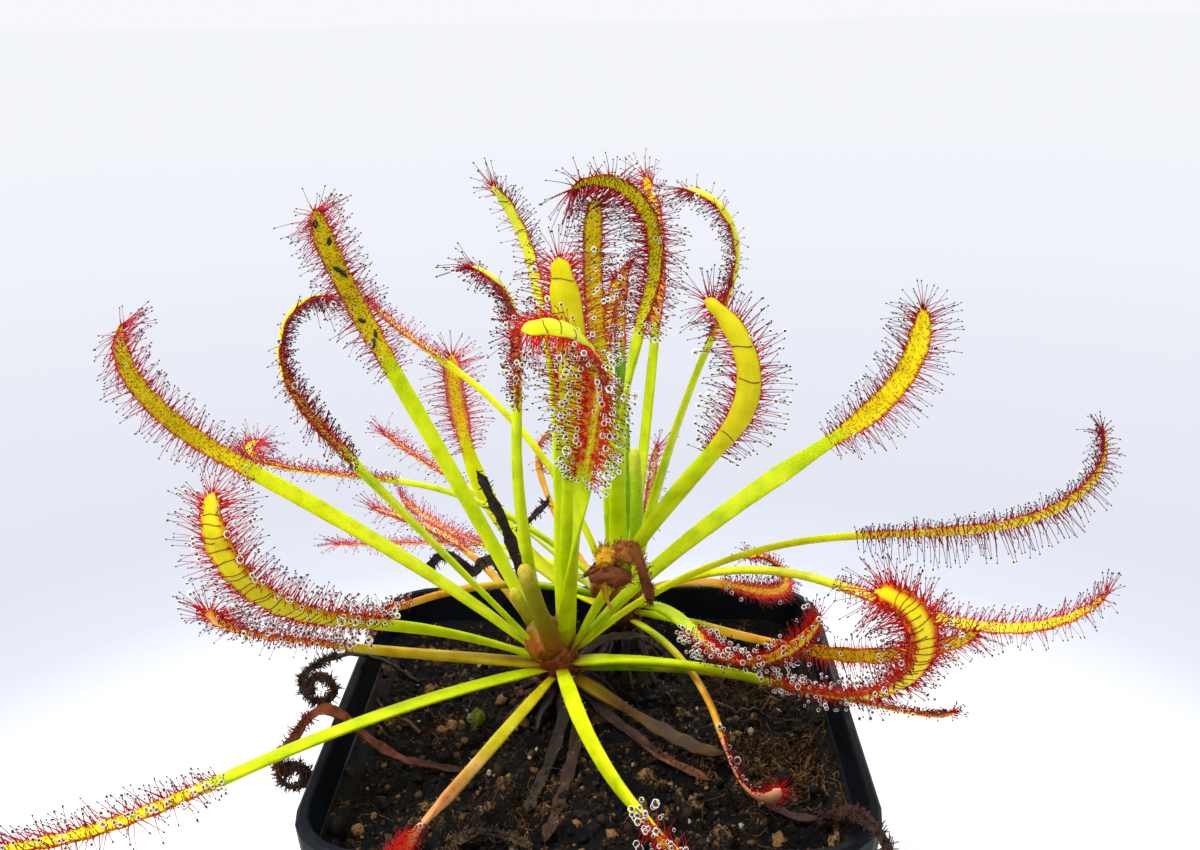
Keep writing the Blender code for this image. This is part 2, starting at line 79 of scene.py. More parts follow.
# ---------------------------------------------------------------- node helpers
def linear(colour):
    """The linear colour of a "#rrggbb" display colour. Any other value stays as it is."""
    if not isinstance(colour, str):
        return colour
    parts = (int(colour[i:i + 2], 16) for i in (1, 3, 5))
    return tuple(((c / 255 + 0.055) / 1.055) ** 2.4 if c > 10 else c / 255 / 12.92 for c in parts) + (1.0,)


class Paint:
    """A material or world under construction: short calls that add nodes and return their output sockets."""

    def __init__(self, name, kind="materials", shader="BSDF_PRINCIPLED", **settings):
        self.material = getattr(bpy.data, kind).new(name)
        self.material.use_nodes = True
        self.tree = self.material.node_tree
        self.shader = next(n for n in self.tree.nodes if n.type == shader)
        self.set(**settings)

    def put(self, socket, value):
        if isinstance(value, bpy.types.NodeSocket):
            self.tree.links.new(value, socket)
        else:
            socket.default_value = linear(value)

    def set(self, **settings):
        """Sets or links the shader's sockets; an underscore stands for a space."""
        for key, value in settings.items():
            self.put(self.shader.inputs[key.replace("_", " ")], value)
        return self

    def add(self, kind, inputs, output=0, **options):
        node = self.tree.nodes.new("ShaderNode" + kind)
        for key, value in options.items():
            setattr(node, key, value)
        for key, value in inputs.items():
            self.put(node.inputs[key], value)
        return node.outputs[output]

    def value(self, name):
        return self.add("Attribute", {}, "Fac", attribute_name=name)

    def place(self, *scale):
        """Object coordinates in millimetres, stretched by one scale or by three."""
        here = self.add("TexCoord", {}, "Object")
        return self.add("Mapping", {"Vector": here, "Scale": [s / MM for s in (scale * 3)[:3]]})

    def lines(self, along, across, face=1.0):
        """Leaf coordinates, stretched: along the leaf, across it, and which face."""
        parts = {"X": self.value("along"), "Y": self.value("across"), "Z": self.value("face")}
        return self.add("Mapping", {"Vector": self.add("CombineXYZ", parts), "Scale": (along, across, face)})

    def noise(self, where, detail=3.0, rough=0.55, scale=1.0):
        settings = {"Vector": where, "Scale": scale, "Detail": detail, "Roughness": rough}
        return self.add("TexNoise", settings, "Fac")

    def cells(self, where):
        return self.add("TexVoronoi", {"Vector": where, "Scale": 1.0}, "Distance")

    def chain(self, how, first, *others):
        for value in others:
            first = self.add("Math", {0: first, 1: value}, operation=how)
        return first

    def plus(self, *values):
        return self.chain("ADD", *values)

    def times(self, *values):
        return self.chain("MULTIPLY", *values)

    def most(self, *values):
        return self.chain("MAXIMUM", *values)

    def weigh(self, a, share, b):
        """The share of a and the rest of b."""
        return self.plus(self.times(a, share), self.times(b, 1 - share))

    def span(self, value, low, high, to_low=0.0, to_high=1.0):
        """value mapped from low..high to to_low..to_high, held inside."""
        return self.add("MapRange", {"Value": value, "From Min": low, "From Max": high, "To Min": to_low,
                                     "To Max": to_high})

    def ramp(self, value, places, colours):
        """Colours, in one string or a list, at places of the value."""
        made = self.add("ValToRGB", {"Fac": value}, "Color")
        elements = made.node.color_ramp.elements
        while len(elements) < len(places):
            elements.new(1.0)
        colours = colours.split() if isinstance(colours, str) else colours
        for element, place, colour in zip(elements, places, colours):
            element.position, element.color = place, linear(colour)
        return made

    def mix(self, share, a, b):
        return self.add("Mix", {0: share, 6: a, 7: b}, 2, data_type="RGBA")

    def seen(self):
        """1 for rays that see the backdrop at its full strength."""
        rays = self.tree.nodes.new("ShaderNodeLightPath").outputs
        return self.most(*(rays[f"Is {kind} Ray"] for kind in ("Camera", "Transmission", "Glossy")))

    def coat(self, colour, specular, grain, *span):
        """The shader's colour and gloss, with its roughness mapped from a grain."""
        return self.set(Base_Color=colour, Specular_IOR_Level=specular, Roughness=self.span(grain, *span))

    def flesh(self, weight, *radius):
        """Light goes into the surface: how much, and how far each colour comes, in mm."""
        return self.set(Subsurface_Weight=weight, Subsurface_Radius=[r * MM for r in radius],
                        Subsurface_Scale=1.0)

    def bump(self, height, distance, strength=1.0):
        settings = {"Height": height, "Distance": distance * MM, "Strength": strength}
        return self.set(Normal=self.add("Bump", settings))


# ---------------------------------------------------------------- meshes
class Shape:
    """Collects points, triangles and point values (in millimetres), and becomes one mesh piece."""

    def __init__(self, *names):
        self.names, self.points, self.faces, self.values, self.count = names, [], [], [], 0

    def add(self, points, faces, *values):
        points = np.asarray(points, float).reshape(-1, 3)
        self.points.append(points)
        self.faces.append(np.asarray(faces, int).reshape(-1, 3) + self.count)
        self.values.append([np.broadcast_to(np.asarray(v, float), (len(points),)) for v in values])
        self.count += len(points)

    def piece(self, name, material, slot, *nodes):
        """The mesh piece, riding on the pot, in place of the named CAD nodes."""
        mesh = bpy.data.meshes.new(name)
        mesh.from_pydata(np.concatenate(self.points) * MM, [], np.concatenate(self.faces), shade_flat=False)
        for index, label in enumerate(self.names):
            data = np.concatenate([v[index] for v in self.values]).astype(np.float32)
            mesh.attributes.new(label, "FLOAT", "POINT").data.foreach_set("value", data)
        mesh.materials.append(material)
        made = add_object(name, mesh)
        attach(made, "root")
        if nodes:
            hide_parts(*nodes)


def unit(vectors):
    return vectors / np.maximum(np.linalg.norm(vectors, axis=-1, keepdims=True), 1e-9)


def circle(sides):
    return np.arange(sides) * math.tau / sides


def tube_faces(rings, sides):
    """Triangles of a tube: its first point closes the foot and its last one, after the rings, the tip."""
    turn = np.arange(sides)
    following = (turn + 1) % sides
    faces = [np.stack([0 * turn, 1 + following, 1 + turn], 1)]
    last = 1 + (rings - 1) * sides
    for low in range(1, last, sides):
        high = low + sides
        faces.append(np.stack([low + turn, low + following, high + following], 1))
        faces.append(np.stack([low + turn, high + following, high + turn], 1))
    faces.append(np.stack([last + turn, last + following, 0 * turn + last + sides], 1))
    return np.concatenate(faces)


def copies(faces, count, size):
    """The faces of count like parts, with size points each."""
    return faces[None] + (np.arange(count) * size)[:, None, None]


def close_tubes(shape, paths, rings, values):
    """Many closed tubes: paths (count, stations, 3), with rings (count, stations - 2, sides, 3) between ends."""
    count, stations = paths.shape[:2]
    sides = rings.shape[2]
    points = np.concatenate([paths[:, :1], rings.reshape(count, -1, 3), paths[:, -1:]], 1)
    values = [np.broadcast_to(v, (count, stations)) for v in values]
    values = [np.concatenate([v[:, :1], np.repeat(v[:, 1:-1], sides, 1), v[:, -1:]], 1).ravel() for v in values]
    shape.add(points, copies(tube_faces(stations - 2, sides), count, points.shape[1]), *values)


def lay_tubes(shape, paths, radii, sides, *values):
    """Many round tubes at once, with a radius for each station of each path."""
    radii = np.broadcast_to(radii, paths.shape[:2])
    along = unit(paths[:, -1] - paths[:, 0])
    first = unit(np.cross(along, np.where(np.abs(along[:, 2:3]) < 0.8, UP[None], np.array([[1.0, 0.0, 0.0]]))))
    second = np.cross(along, first)
    angles = circle(sides)[None, :, None]
    around = first[:, None, :] * np.cos(angles) + second[:, None, :] * np.sin(angles)
    close_tubes(shape, paths, paths[:, 1:-1, None, :] + around[:, None] * radii[:, 1:-1, None, None], values)


def lay_ribbons(shape, paths, side, width, thick, *values):
    """Thin strips along paths, side being each one's direction across; widths are per station."""
    ahead = unit(np.gradient(paths, axis=1))
    across = unit(side[:, None] - ahead * (side[:, None] * ahead).sum(-1, keepdims=True))
    half, rise = across * width[..., None] / 2, np.cross(ahead, across) * thick
    rings = np.stack([paths + half, paths + rise, paths - half, paths - rise], 2)[:, 1:-1]
    close_tubes(shape, paths, rings, values)


def add_skin(shape, ends, rings, per_row, per_side, *crumples):
    """One closed skin of rings (rows, sides, 3) between two ends, with its values per row and per side."""
    rows, sides = rings.shape[:2]
    points = np.concatenate([ends[:1], rings.reshape(-1, 3), ends[-1:]])
    for crumpled in crumples:
        points = crumple(points, *crumpled)
    values = [np.concatenate([[v[0]], np.repeat(v, sides), [v[-1]]]) for v in per_row]
    values += [np.concatenate([[0.0], np.tile(v, rows), [0.0]]) for v in per_side]
    shape.add(points, tube_faces(rows, sides)[:, ::-1], *values)


def ball(sides, bands):
    """Points and triangles of a ball of radius 1."""
    rows = [(0, 0, -1)]
    for band in range(1, bands):
        tilt = math.pi * band / bands - math.pi / 2
        wide, high = math.cos(tilt), math.sin(tilt)
        rows += [(wide * math.cos(a), wide * math.sin(a), high) for a in circle(sides)]
    return np.array(rows + [(0, 0, 1)], float), tube_faces(bands - 1, sides)


def crumple(points, amount, scale, seed):
    """Points pushed about by smooth noise."""
    pushed = [noise.noise_vector(Vector(p) * scale + Vector((seed, 0, 0))) for p in points]
    return points + np.array(pushed) * amount


# ---------------------------------------------------------------- leaves read from the frame
def welded(node):
    """A CAD node's points in millimetres, with split corners merged, and each point's neighbours."""
    mesh = frame["nodes"][node].data
    seen, index = {}, []
    for vertex in mesh.vertices:
        index.append(seen.setdefault(tuple(vertex.co), len(seen)))
    neighbours = [set() for _ in seen]
    for edge in mesh.edges:
        a, b = (index[v] for v in edge.vertices)
        if a != b:
            neighbours[a].add(b)
            neighbours[b].add(a)
    return np.array(list(seen)) / MM, neighbours


def layers_from(start, neighbours):
    seen, layers = {start}, [[start]]
    while True:
        fresh = sorted({n for p in layers[-1] for n in neighbours[p]} - seen)
        if not fresh:
            return layers
        seen.update(fresh)
        layers.append(fresh)


def read_rings(node, near):
    """A strap solid's two ends and the six-sided rings between them, from the end that is nearest to near."""
    points, neighbours = welded(node)
    for start in np.argsort(np.linalg.norm(points - near, axis=1)):
        if len(neighbours[start]) != 6:
            continue
        layers = layers_from(int(start), neighbours)
        if len(layers[-1]) == 1 and all(len(layer) == 6 for layer in layers[1:-1]):
            rings = np.array([points[layer] for layer in layers[1:-1]])
            return points[layers[0][0]], rings, points[layers[-1][0]]
    raise ValueError(f"{node} is not a strap of six-sided rings")


def turned_order(ring, centre, along, reference):
    """The six points in order round the line, seen along it."""
    u = unit(reference - along * np.dot(reference, along))
    flat = ring - centre
    return np.argsort(np.arctan2(flat @ np.cross(along, u), flat @ u))


def label_rings(foot, rings, tip):
    """Each ring's points as right edge, right face, left face, left edge, left keel, right keel."""
    centres = rings.mean(1)
    line = np.concatenate([[foot], centres, [tip]])
    along = unit(line[2:] - line[:-2])
    best = int(np.argmax([max(np.linalg.norm(a - b) for a in ring for b in ring) for ring in rings]))
    ring = rings[best]
    apart = lambda pair: np.linalg.norm(ring[pair[0]] - ring[pair[1]])
    far = max(((i, j) for i in range(6) for j in range(i)), key=apart)
    order = list(turned_order(ring, centres[best], along[best], unit(ring[far[0]] - ring[far[1]])))
    ring = ring[order[order.index(far[0]):] + order[:order.index(far[0])]]
    if np.linalg.norm(ring[1] - ring[2]) < np.linalg.norm(ring[4] - ring[5]):
        ring = np.roll(ring, -3, axis=0)
    labelled = {best: ring}
    for step in (1, -1):
        k = best
        while 0 <= k + step < len(rings):
            known, k = labelled[k], k + step
            here = rings[k][turned_order(rings[k], centres[k], along[k], known[0] - known[3])]
            old = known - known.mean(0)
            old = old / np.linalg.norm(old)
            fits = []
            for shift in range(6):
                new = np.roll(here, -shift, axis=0)
                new = new - new.mean(0)
                fits.append(np.linalg.norm(new / np.linalg.norm(new) - old))
            labelled[k] = np.roll(here, -int(np.argmin(fits)), axis=0)
    return np.array([labelled[k] for k in range(len(rings))])


def hermite(stations, values, at):
    """Smooth values at the given places along the stations."""
    values = np.asarray(values, float)
    slopes = np.gradient(values, stations, axis=0)
    i = np.clip(np.searchsorted(stations, at, side="right") - 1, 0, len(stations) - 2)
    step = stations[i + 1] - stations[i]
    t = (at - stations[i]) / step
    if values.ndim > 1:
        t, step = t[:, None], step[:, None]
    a, b, sa, sb = values[i], values[i + 1], slopes[i] * step, slopes[i + 1] * step
    return ((2 * t**3 - 3 * t**2 + 1) * a + (t**3 - 2 * t**2 + t) * sa + (3 * t**2 - 2 * t**3) * b
            + (t**3 - t**2) * sb)


STALK_RINGS = 6
CROWN_AT = (-0.5, 16.0, 84.0)  # between the crowns, where every leaf's foot is nearest


class Strap:
    """The centre line and section of a leaf, smoothed between the CAD rings."""

    def __init__(self, node):
        foot, rings, tip = read_rings(node, np.array(CROWN_AT))
        rings = label_rings(foot, rings, tip)
        edges = (rings[:, 0] + rings[:, 3]) / 2
        across = rings[:, 0] - rings[:, 3]
        width = np.linalg.norm(across, axis=1)
        across = unit(across)
        lift = unit((rings[:, 1] + rings[:, 2] - rings[:, 4] - rings[:, 5]) / 2)
        lift = unit(lift - across * (lift * across).sum(1, keepdims=True))
        face, keel = ((((rings[:, i] + rings[:, i + 1]) / 2 - edges) * lift).sum(1) for i in (1, 4))
        self.line = np.concatenate([[foot], edges, [tip]])
        self.stations = np.concatenate([[0], np.cumsum(np.linalg.norm(np.diff(self.line, axis=0), axis=1))])
        self.lift = np.concatenate([lift[:1], lift, lift[-1:]])
        self.width, self.face, self.keel = (np.concatenate([[0], v, [0]]) for v in (width, face, -keel))
        self.length = self.stations[-1]
        self.blade_from = self.stations[min(STALK_RINGS, len(self.stations) - 2)]

    def at(self, places):
        """Centre, across, lift, along, width, face height and keel depth at places along the leaf."""
        places = np.clip(np.asarray(places, float), 0, self.length)
        centre = hermite(self.stations, self.line, places)
        ahead = hermite(self.stations, self.line, np.minimum(places + 0.2, self.length))
        behind = hermite(self.stations, self.line, np.maximum(places - 0.2, 0))
        along = unit(ahead - behind)
        across = unit(np.cross(along, unit(hermite(self.stations, self.lift, places))))
        sizes = []
        for size in (self.width, self.face, self.keel):
            straight = np.maximum(np.interp(places, self.stations, size), 0.02)
            sizes.append(np.minimum(np.maximum(hermite(self.stations, size, places), 0.02), straight * 1.25))
        return centre, across, np.cross(across, along), along, *sizes

    def blade(self, places):
        """0 on the stalk, 1 on the blade."""
        t = np.clip((np.asarray(places) - self.blade_from + 2.0) / 4.0, 0, 1)
        return t * t * (3 - 2 * t)


make_camera()


# ---------------------------------------------------------------- leaf looks
# the colours of stalks and blades are shade, body and bright, and those of hairs foot, middle, neck and gland
STALKS = {
    "lime": "#a4c000 #cee202 #e8f224",
    "deep": "#629608 #8ebe0a #bcdc24",
    "yellow": "#c2c400 #e6ea04 #f6f832",
    "golden": "#b07e08 #dab212 #ecd042",
    "amber": "#be7614 #e2a428 #f0c45a",
    "salmon": "#d27442 #ec9e62 #f8c892",
    "orange": "#ce780e #eaa822 #f4cc5a",
    "ageing": "#a09606 #cec20c #e0d632",
    "withered": "#605008 #8e760e #ac9428",
    "khaki": "#1a0f01 #442c04 #704e0e",
    "sunny": "#b2be00 #d8e402 #ecf01e",
    "pale": "#b4c43c #d4e264 #e6ee96",
}
BLADES = {
    "yellow": "#d6b804 #f8e006 #fef032",
    "golden": "#e2ac04 #f8cc0c #fce03c",
    "olive": "#c8bc04 #eade08 #f4ee2c",
    "mustard": "#b6a404 #d8ca08 #ece228",
    "fresh": "#c4ce06 #e2e814 #f4f664",
    "orange": "#de8c0a #f6b816 #fad450",
    "red": "#a0220e #d45422 #ec9254",
    "pale": "#e0a032 #f4c854 #f8dc82",
    "khaki": "#1a0f01 #442c04 #704e0e",
    "blush": "#ce6034 #f09c68 #facea6",
}
HAIRS = {
    "crimson": "#d61026 #9e0e26 #400a18 #0e0509",
    "rose": "#e21e34 #d0344c #8c3a4c #2c141e",
    "maroon": "#c40818 #a4081a #700816 #28040c",
    "red": "#e61a10 #ce1414 #860e14 #22060a",
    "pink": "#e83e54 #de5c6c #be5464 #602230",
}
TURNS = {"salmon": (0.45, 0.8), "khaki": (0.3, 0.75)}  # where along the stalk the second colour takes over
# colours of the stalk (foot>far end, where it changes), the blade and the hairs; share of hairs with a dew
# drop, hair length, hair density, dark lines on the back per 10 mm, and how far the red flush goes in from
# the margin; then how much longer the hairs grow that hang down, how red the back is at its margins, the
# blade's width, the usual radius of a drop, how dark the short glands stipple the face, how much of that
# shows on the back, and the stalk's width
Look = namedtuple("Look", "stalk blade hairs dew reach dense lines flush fall back slim drop dots under stem",
                  defaults=(0.1, 1.0, 1.0, 4, 0.3, 0.1, 0.0, 1.0, 0.35, 0.3, 0.0, 1.0))
LOOKS = {
    "left_far": Look("sunny", "yellow", "rose", 0.03, 0.7, 1.0, 2, 0.1, slim=0.9, dots=0.75),
    "left_low": Look("lime", "mustard", "red", 0.46, 0.95, 1.3, 7, back=0.5, stem=1.2),
    "left_hook": Look("lime", "fresh", "maroon", 0.03, 0.52, 1.9, 2, 1.0),
    "left_upper": Look("lime", "yellow", "rose", 0.08, 0.76, 1.2, 3, 0.12, dots=0.8),
    "left_level": Look("lime", "yellow", "rose", 0.03, 0.7, 0.9, 5, dots=0.5),
    "left_orange": Look("deep>amber", "orange", "red", 0.3, 0.75, 1.2, 4, 0.8, stem=1.2),
    "left_yellow": Look("golden", "orange", "red", 0.22, 0.75, 1.3, 4, 0.8, back=0.5, stem=1.6),
    "front_left_long": Look("lime", "yellow", "crimson", 0.36, 0.85, 1.1, 3, 0.2, dots=0.5),
    "front_dying": Look("ageing>salmon", "red", "red", 0.05, 0.3, 1.2, 0, 1.0),
    "front_centre": Look("sunny", "golden", "red", 0.4, 0.85, 1.1, 3, 0.2, stem=1.12),
    "withering_right": Look("withered>khaki", "khaki", None, stem=1.45),
    "right_low_small": Look("deep>orange", "orange", "red", 0.02, 0.2, 1.6, 0, 0.6),
    "right_folded": Look("lime", "yellow", "red", 0.3, 0.8, 1.7, 10, 0.45, back=1.0, drop=0.29, stem=1.5),
    "right_dewy": Look("lime", "yellow", "red", 0.34, 0.56, 2.0, 9, 0.7, back=0.7, slim=0.84, drop=0.32),
    "right_long": Look("yellow", "yellow", "rose", 0.08, 0.68, 1.05, 5, 0.12, dots=0.75, under=0.85),
    "right_pale": Look("lime>amber", "golden", "red", 0.04, 0.5, 1.0, 4, 0.2, dots=0.85, under=0.8),
    "right_hook": Look("yellow", "yellow", "crimson", 0.02, 0.78, 1.4, 11, 0.15, fall=0.35, dots=0.1, stem=1.1),
    "right_upper": Look("lime", "yellow", "crimson", 0.06, 0.8, 1.1, 3, 0.12, dots=0.55, stem=1.25),
    "centre_right": Look("lime", "mustard", "crimson", 0.34, 0.85, 1.1, 1, 0.15, slim=0.86),
    "top_right": Look("lime", "fresh", "maroon", 0.05, 0.66, 1.7, 2, 1.0),
    "top_arch": Look("lime", "olive", "crimson", 0.1, 0.85, 1.4, 4, 0.2, slim=0.74, dots=0.85),
    "centre_upright": Look("lime", "yellow", "crimson", 0.16, 0.65, 1.2, 1, 0.15, dots=0.4),
    "centre_front": Look("lime", "olive", "red", 0.36, 0.85, 1.2, 3, 0.2),
    "centre_hook": Look("lime", "fresh", "red", 0.42, 0.75, 1.6, 4, 0.82),
    "centre_left": Look("lime", "fresh", "maroon", 0.1, 0.66, 1.8, 2, 1.0),
    "top_left": Look("lime", "fresh", "crimson", 0.02, 0.75, 1.2, 3, 0.4, slim=1.25),
    "inner_orange": Look("lime", "golden", "red", 0.36, 0.7, 1.0, 4, 0.25, dots=0.6),
    "inner_rear": Look("deep", "orange", "red", 0.3, 0.7, 0.9, dots=0.6),
    "behind_arch": Look("lime", "golden", "pink", 0.05, 0.8, 0.85, 3, 0.2, dots=0.6),
    "rear_left_thin": Look("yellow", "golden", "pink", 0.05, 0.75, 0.9, 3),
    "rear_left_pale": Look("yellow", "golden", "pink", 0.06, 0.8, 1.1, 3, 0.4, slim=0.76, dots=0.5),
    "rear_pink_a": Look("yellow", "pale", "pink", 0.05, 0.7, 0.8, 3, 0.5),
    "rear_pink_b": Look("amber", "pale", "pink", 0.1, 0.7, 0.8, 3, 0.5),
    "rear_pink_c": Look("pale", "pale", "pink", 0.1, 0.7, 0.8, 3, 0.5),
    "rear_pink_d": Look("pale", "pale", "pink", 0.1, 0.6, 0.8, 3, 0.5),
    "rear_small": Look("amber", "pale", "pink", 0.1, 0.6, 0.8, 3, 0.5),
    "rear_right_short": Look("lime", "pale", "pink", 0.1, 0.7, 0.8, 3, 0.4),
    "front_orange": Look("lime>orange", "blush", "red", 0.03, 0.19, 1.8, 0, 0.4),
    "right_orange": Look("amber", "orange", "red", 0.03, 0.34, 1.2, 1, 0.6, back=0.5),
}


def leaf_material(name, look):
    """Fleshy leaf: a ribbed stalk turning into the blade's colour, brown at its foot, flushed at its margin."""
    p = Paint(name)
    along, across, face, blade, share = (p.value(v) for v in ("along", "across", "face", "blade", "share"))
    streak, blotch = p.noise(p.lines(0.035, 3.2), 4.0, 0.6), p.noise(p.place(0.22))
    grain = p.weigh(streak, 0.25, blotch)
    first, *later = look.stalk.split(">")
    stalk = p.ramp(grain, (0.3, 0.5, 0.72), STALKS[first])
    for kind in later:
        turn = p.span(p.plus(share, p.span(blotch, 0.2, 0.8, -0.15, 0.15)), *TURNS.get(kind, (0.25, 0.7)))
        stalk = p.mix(turn, stalk, p.ramp(grain, (0.3, 0.5, 0.72), STALKS[kind]))
        stalk = p.mix(p.times(p.span(p.cells(p.lines(0.3, 1.4)), 0.1, 0.2, 0.8, 0.0), turn), stalk, "#ba280e")
    skin = p.ramp(p.weigh(streak, 0.35, blotch), (0.28, 0.5, 0.75), BLADES[look.blade])
    if look.hairs:
        # short glands stipple the face
        dots = p.span(p.cells(p.lines(1.9, 4.2)), 0.24, 0.4, look.dots, 0.0)
        patches = p.span(p.noise(p.lines(0.45, 1.4)), 0.38, 0.56, 0.3, 1.0)
        skin = p.mix(p.times(dots, patches, p.most(face, look.under)), skin, "#342804")
        # the face is flushed with red towards its margins, and the margin itself is thin and red
        edge, inner = p.add("Math", {0: across}, operation="ABSOLUTE"), max(0.05, 1.0 - look.flush)
        flush = p.times(p.span(edge, inner - 0.2, inner + 0.15), p.most(face, look.back),
                        p.span(p.noise(p.lines(0.9, 1.2)), 0.3, 0.6, 0.5, 1.0))
        flush = p.most(flush, p.span(edge, 0.955, 1.0, 0.0, 0.8))
        skin = p.mix(flush, skin, HAIRS[look.hairs].split()[look.flush != 1])
    colour = p.mix(blade, stalk, skin)
    # brown foot where the stalk leaves the crown, and a few dark and rusty specks
    colour = p.mix(p.span(p.plus(along, p.times(blotch, 4.0)), 3.0, 7.5, 0.7, 0.0), colour, "#964e0a")
    specks = p.span(p.cells(p.lines(0.42, 1.1)), 0.035, 0.07, 1.0, 0.0)
    sparse = p.span(p.noise(p.lines(0.05, 0.3, 3.0)), 0.52, 0.6)
    colour = p.mix(p.times(specks, sparse, 0.85), colour, "#542c0a")
    ribs = p.plus(p.times(p.noise(p.lines(0.06, 5.0), 2.0), 0.5), blotch)
    p.coat(colour, 0.14, streak, 0.3, 0.7, 0.45, 0.6)
    return p.flesh(0.12, 0.8, 0.9, 0.2).bump(ribs, 0.05, 0.6).material


def hair_material(name, colours):
    p = Paint(name)
    reach = p.plus(p.value("reach"), p.span(p.value("tone"), 0, 1, -0.07, 0.07))
    stalk = p.ramp(reach, (0.0, 0.38, 0.8, 0.95), colours)
    mottle = p.noise(p.place(3), 2.0)
    colour = p.mix(p.span(mottle, 0.3, 0.7, 0.0, 0.12), stalk, colours.split()[0])
    return p.coat(colour, 0.25, mottle, 0.2, 0.8, 0.4, 0.6).material


def dew_material():
    """Clear slime: glassy in the middle, less clear towards its rim, where a faint white glow is painted on as a
    highlight.
    """
    p = Paint("dew", IOR=1.33)
    film = p.noise(p.place(1.5), 2.0)
    rim = p.add("LayerWeight", {"Blend": 0.5}, "Facing")
    tints = (1.0, 0.99, 0.985, 1), (0.985, 1.0, 1.0, 1)
    # painted highlight: the rim glows faintly white and lets less light through, standing in for the bright
    # surroundings seen in the drop's edge
    p.set(Emission_Color="#fffcfa", Emission_Strength=p.span(rim, 0.35, 0.7, 0.0, 0.3),
          Transmission_Weight=p.span(rim, 0.3, 0.6, 1.0, 0.1))
    return p.coat(p.ramp(film, (0.3, 0.7), tints), 0.6, film, 0.2, 0.8, 0.0, 0.03).material


def fuzz_material():
    p = Paint("leaf_hair", Roughness=0.5, Specular_IOR_Level=0.4)
    return p.set(Base_Color=p.ramp(p.noise(p.place(2), 2.0), (0.3, 0.7), "#d6deaa #f4f6e0")).material


# ---------------------------------------------------------------- leaf geometry
SECTION_POINTS = 14
STALK_STEP, BLADE_STEP = 1.6, 0.8
CUP = 0.1  # how far a blade's margins stand up
section = circle(SECTION_POINTS)
SIDE, ON_FACE = np.cos(section), np.where(np.sin(section) >= -1e-9, 1.0, -1.0)


def section_point(x, up, face, keel, width, cup):
    """Height of the skin at x, from -1 to 1 across, on the face (up=1) or the back (up=-1)."""
    round_off = np.sqrt(np.maximum(0.0, 1 - np.abs(x) ** 2.6))
    groove = 0.14 * face * np.exp(-(x / 0.5) ** 2)
    return np.where(up > 0, face * round_off - groove, -keel * round_off) + cup * width * 0.5 * (x * x - 0.3)


def skin_at(strap, places, x, up, cup):
    """Points on a leaf's skin, with the across, lift and along directions there."""
    centre, across, lift, along, width, face, keel = strap.at(places)
    height = section_point(x, up, face, keel, width, cup * strap.blade(places))
    return centre + across * (x * width / 2)[:, None] + lift * height[:, None], across, lift, along


def rings_at(centre, across, lift, x, height):
    """Rings of points (rows, sides, 3) round a line."""
    return centre[:, None] + across[:, None] * x[..., None] + lift[:, None] * height[..., None]


def stout(strap, places, width):
    """A stalk's width, which stays nearly full down to its foot."""
    full = strap.at([0.6 * strap.blade_from])[4][0]
    foot = full * (0.74 + 0.26 * np.clip(places / 12, 0, 1))
    return np.where(places < 0.6 * strap.blade_from, np.maximum(width, foot), width)


def leaf_body(strap, phase):
    split = max(strap.blade_from - 2, 3)
    stalk_rows, blade_rows = max(4, int(split / STALK_STEP)), max(4, int((strap.length - split) / BLADE_STEP))
    places = np.concatenate([np.linspace(0.7, split, stalk_rows, endpoint=False),
                             np.linspace(split, strap.length - 0.35, blade_rows)])
    x = np.sign(SIDE) * np.abs(SIDE) ** 0.85
    centre, across, lift, _, width, face, keel = strap.at(places)
    blade = strap.blade(places)
    wobble = 1 + 0.014 * np.sin(places * 0.41 + phase) + 0.01 * np.sin(places * 1.3 + 2 * phase)
    width = (stout(strap, places, width) * wobble)[:, None]
    height = section_point(x, ON_FACE, face[:, None], keel[:, None], width, (CUP * blade)[:, None])
    ripple = 0.16 * np.sin(places * 1.3 + phase)[:, None] * np.sign(x) * np.abs(x) ** 3 * blade[:, None]
    shape = Shape("along", "blade", "share", "across", "face")
    add_skin(shape, strap.line, rings_at(centre, across, lift, x * width / 2, height + ripple),
             (places, blade, np.minimum(places / strap.blade_from, 1.0)), (x, (ON_FACE + 1) / 2))
    return shape


def strap_share(strap, points):
    """Roughly how far along the blade each point is, from 0 to 1."""
    centre = strap.at(np.linspace(strap.blade_from, strap.length, 24))[0]
    return np.argmin(((points[:, None] - centre[None]) ** 2).sum(-1), 1) / 23.0


